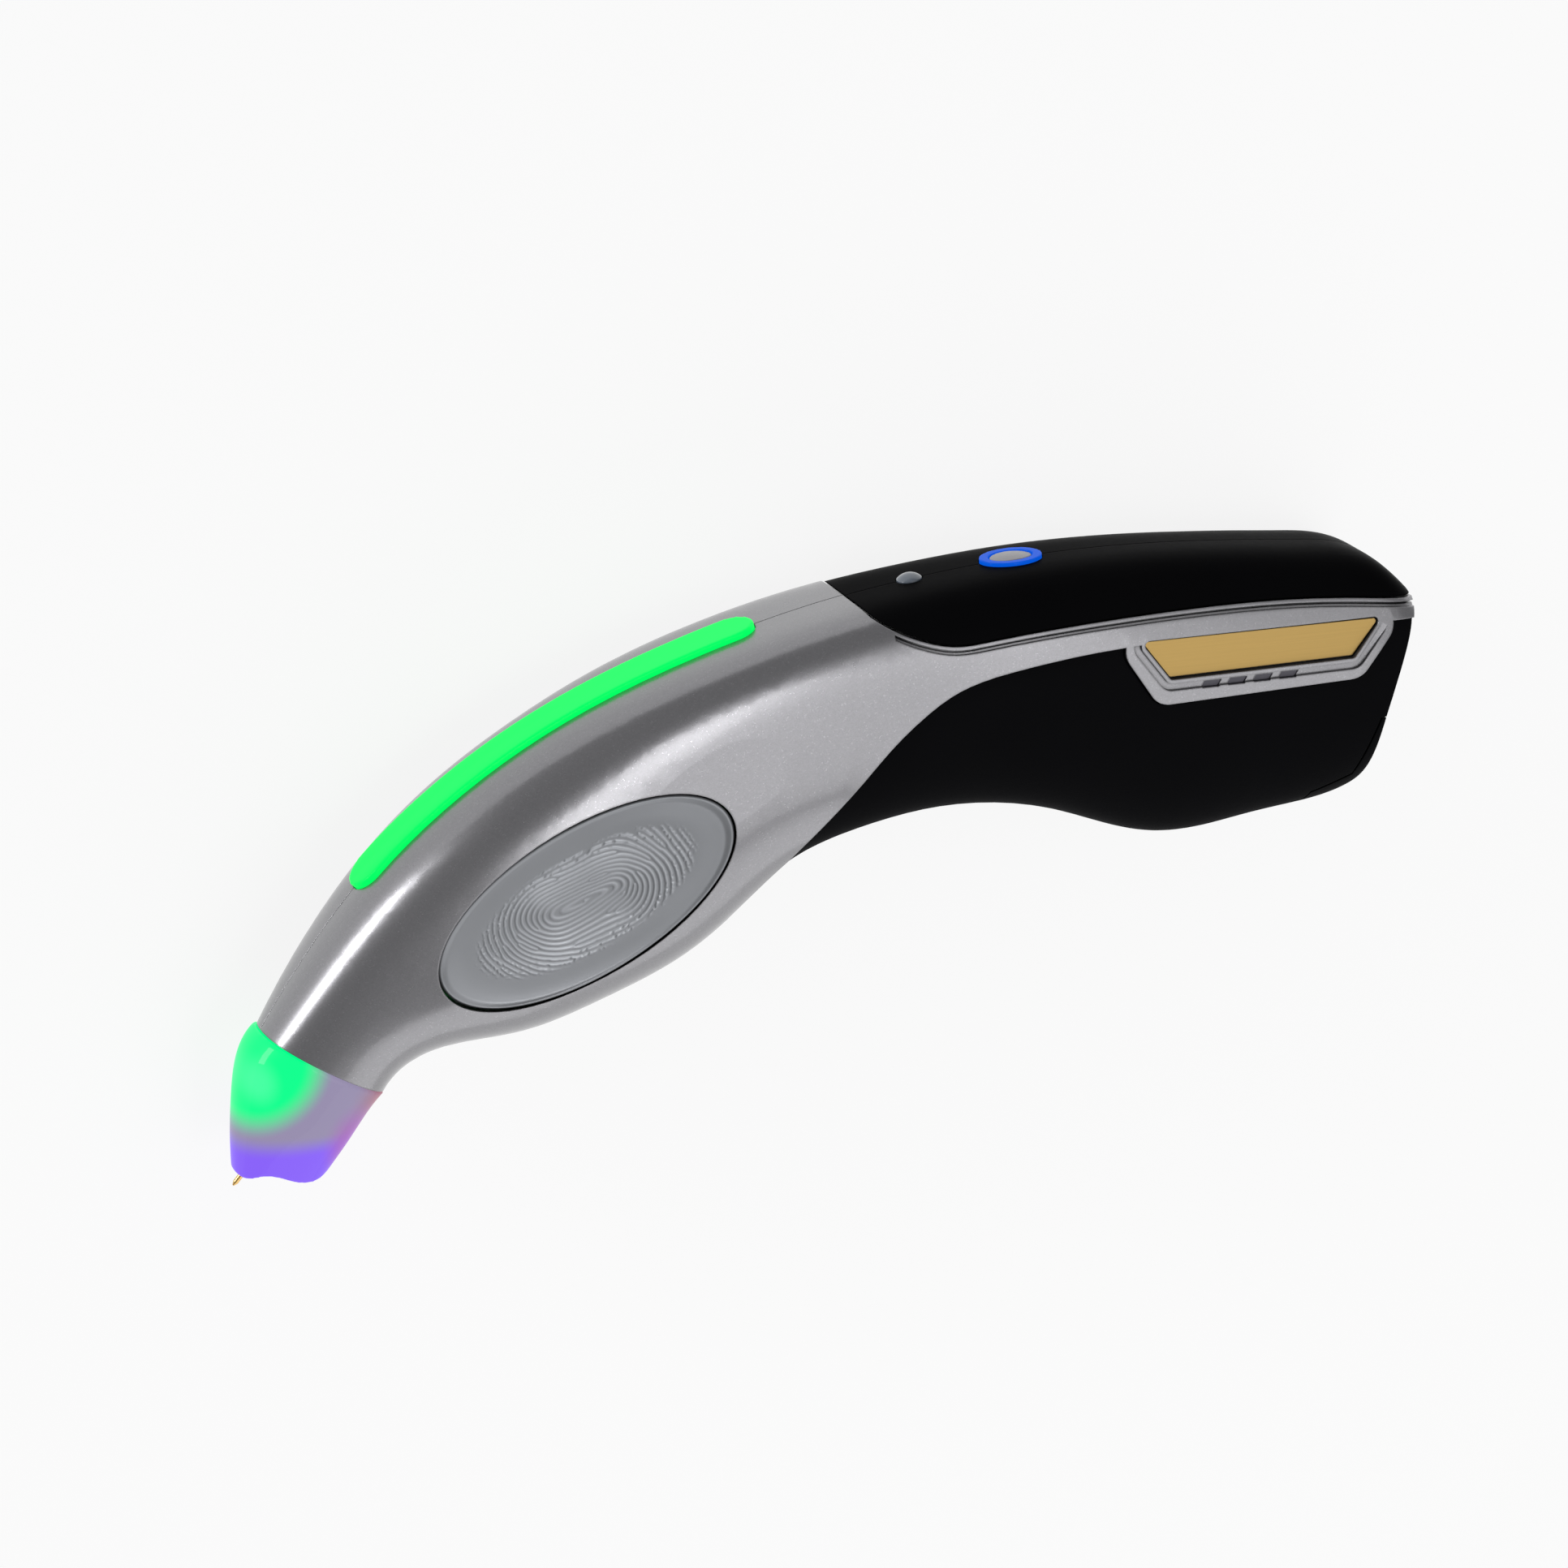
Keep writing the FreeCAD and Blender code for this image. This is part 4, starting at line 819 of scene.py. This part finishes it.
class TESTER_OT_metal(bpy.types.Operator):
    """Probe, contacts, springs and screws"""

    bl_idname = "tester.metal"
    bl_label = "Probe and metal parts"

    def execute(self, context):
        colours = context.scene.tester_colours
        dress(plated("gilt_metal", colours.gilt, 0.22), "gilt_metal",
              "nose_contact", "probe_tip", "probe_sleeve", "probe_barrel", "pad_contacts")
        dress(plated("steel", colours.steel, 0.3), "steel", "probe_spring", "case_screws")
        dress(plated("nickel", colours.nickel, 0.25), "nickel", "battery_contacts", "door_contacts")
        return {"FINISHED"}


class TESTER_OT_inside(bpy.types.Operator):
    """Boards, lamps, sounder and battery"""

    bl_idname = "tester.inside"
    bl_label = "Inside"

    def execute(self, context):
        colours = context.scene.tester_colours
        dress(circuit_board(colours.board), "circuit_board",
              "main_board", "bar_board", "button_board", "nose_board")
        dress(moulded("part_black", colours.black, 0.5), "part_black",
              "switch_plunger", "power_switch", "board_chips", "buzzer", "battery_tray")
        dress(moulded("part_white", colours.white, 0.45), "part_white", "nose_core")
        dress(moulded("lamp_white", colours.lamp, 0.2, coat=0.5), "lamp_white",
              "bar_lamps", "ring_lamps", "nose_lamps")
        dress(moulded("cell_jacket", colours.jacket, 0.3, coat=0.4, grain_scale=900.0),
              "cell_jacket", "battery_cells")
        return {"FINISHED"}


GROUPS = (TesterColours, TesterNose, TesterPad, TesterStudio)
OPERATORS = (TESTER_OT_stage, TESTER_OT_casing, TESTER_OT_covers, TESTER_OT_pads, TESTER_OT_plates,
             TESTER_OT_lights, TESTER_OT_nose, TESTER_OT_metal, TESTER_OT_inside)


class TESTER_PT_panel(bpy.types.Panel):
    """Lists the steps that dress the tool"""

    bl_idname = "TESTER_PT_panel"
    bl_label = "Gold tester"
    bl_space_type = "VIEW_3D"
    bl_region_type = "UI"
    bl_category = "Gold tester"

    def draw(self, context):
        for operator in OPERATORS:
            self.layout.operator(operator.bl_idname)


def register():
    for entry in (*GROUPS, *OPERATORS, TESTER_PT_panel):
        bpy.utils.register_class(entry)
    bpy.types.Scene.tester_colours = PointerProperty(type=TesterColours)
    bpy.types.Scene.tester_nose = PointerProperty(type=TesterNose)
    bpy.types.Scene.tester_pad = PointerProperty(type=TesterPad)
    bpy.types.Scene.tester_studio = PointerProperty(type=TesterStudio)


def unregister():
    for name in ("tester_studio", "tester_pad", "tester_nose", "tester_colours"):
        delattr(bpy.types.Scene, name)
    for entry in (TESTER_PT_panel, *reversed(OPERATORS), *reversed(GROUPS)):
        bpy.utils.unregister_class(entry)


def main():
    register()
    bpy.ops.tester.stage()
    bpy.ops.tester.casing()
    bpy.ops.tester.covers()
    bpy.ops.tester.pads()
    bpy.ops.tester.plates()
    bpy.ops.tester.lights()
    bpy.ops.tester.nose()
    bpy.ops.tester.metal()
    bpy.ops.tester.inside()


if __name__ == "__main__":
    main()
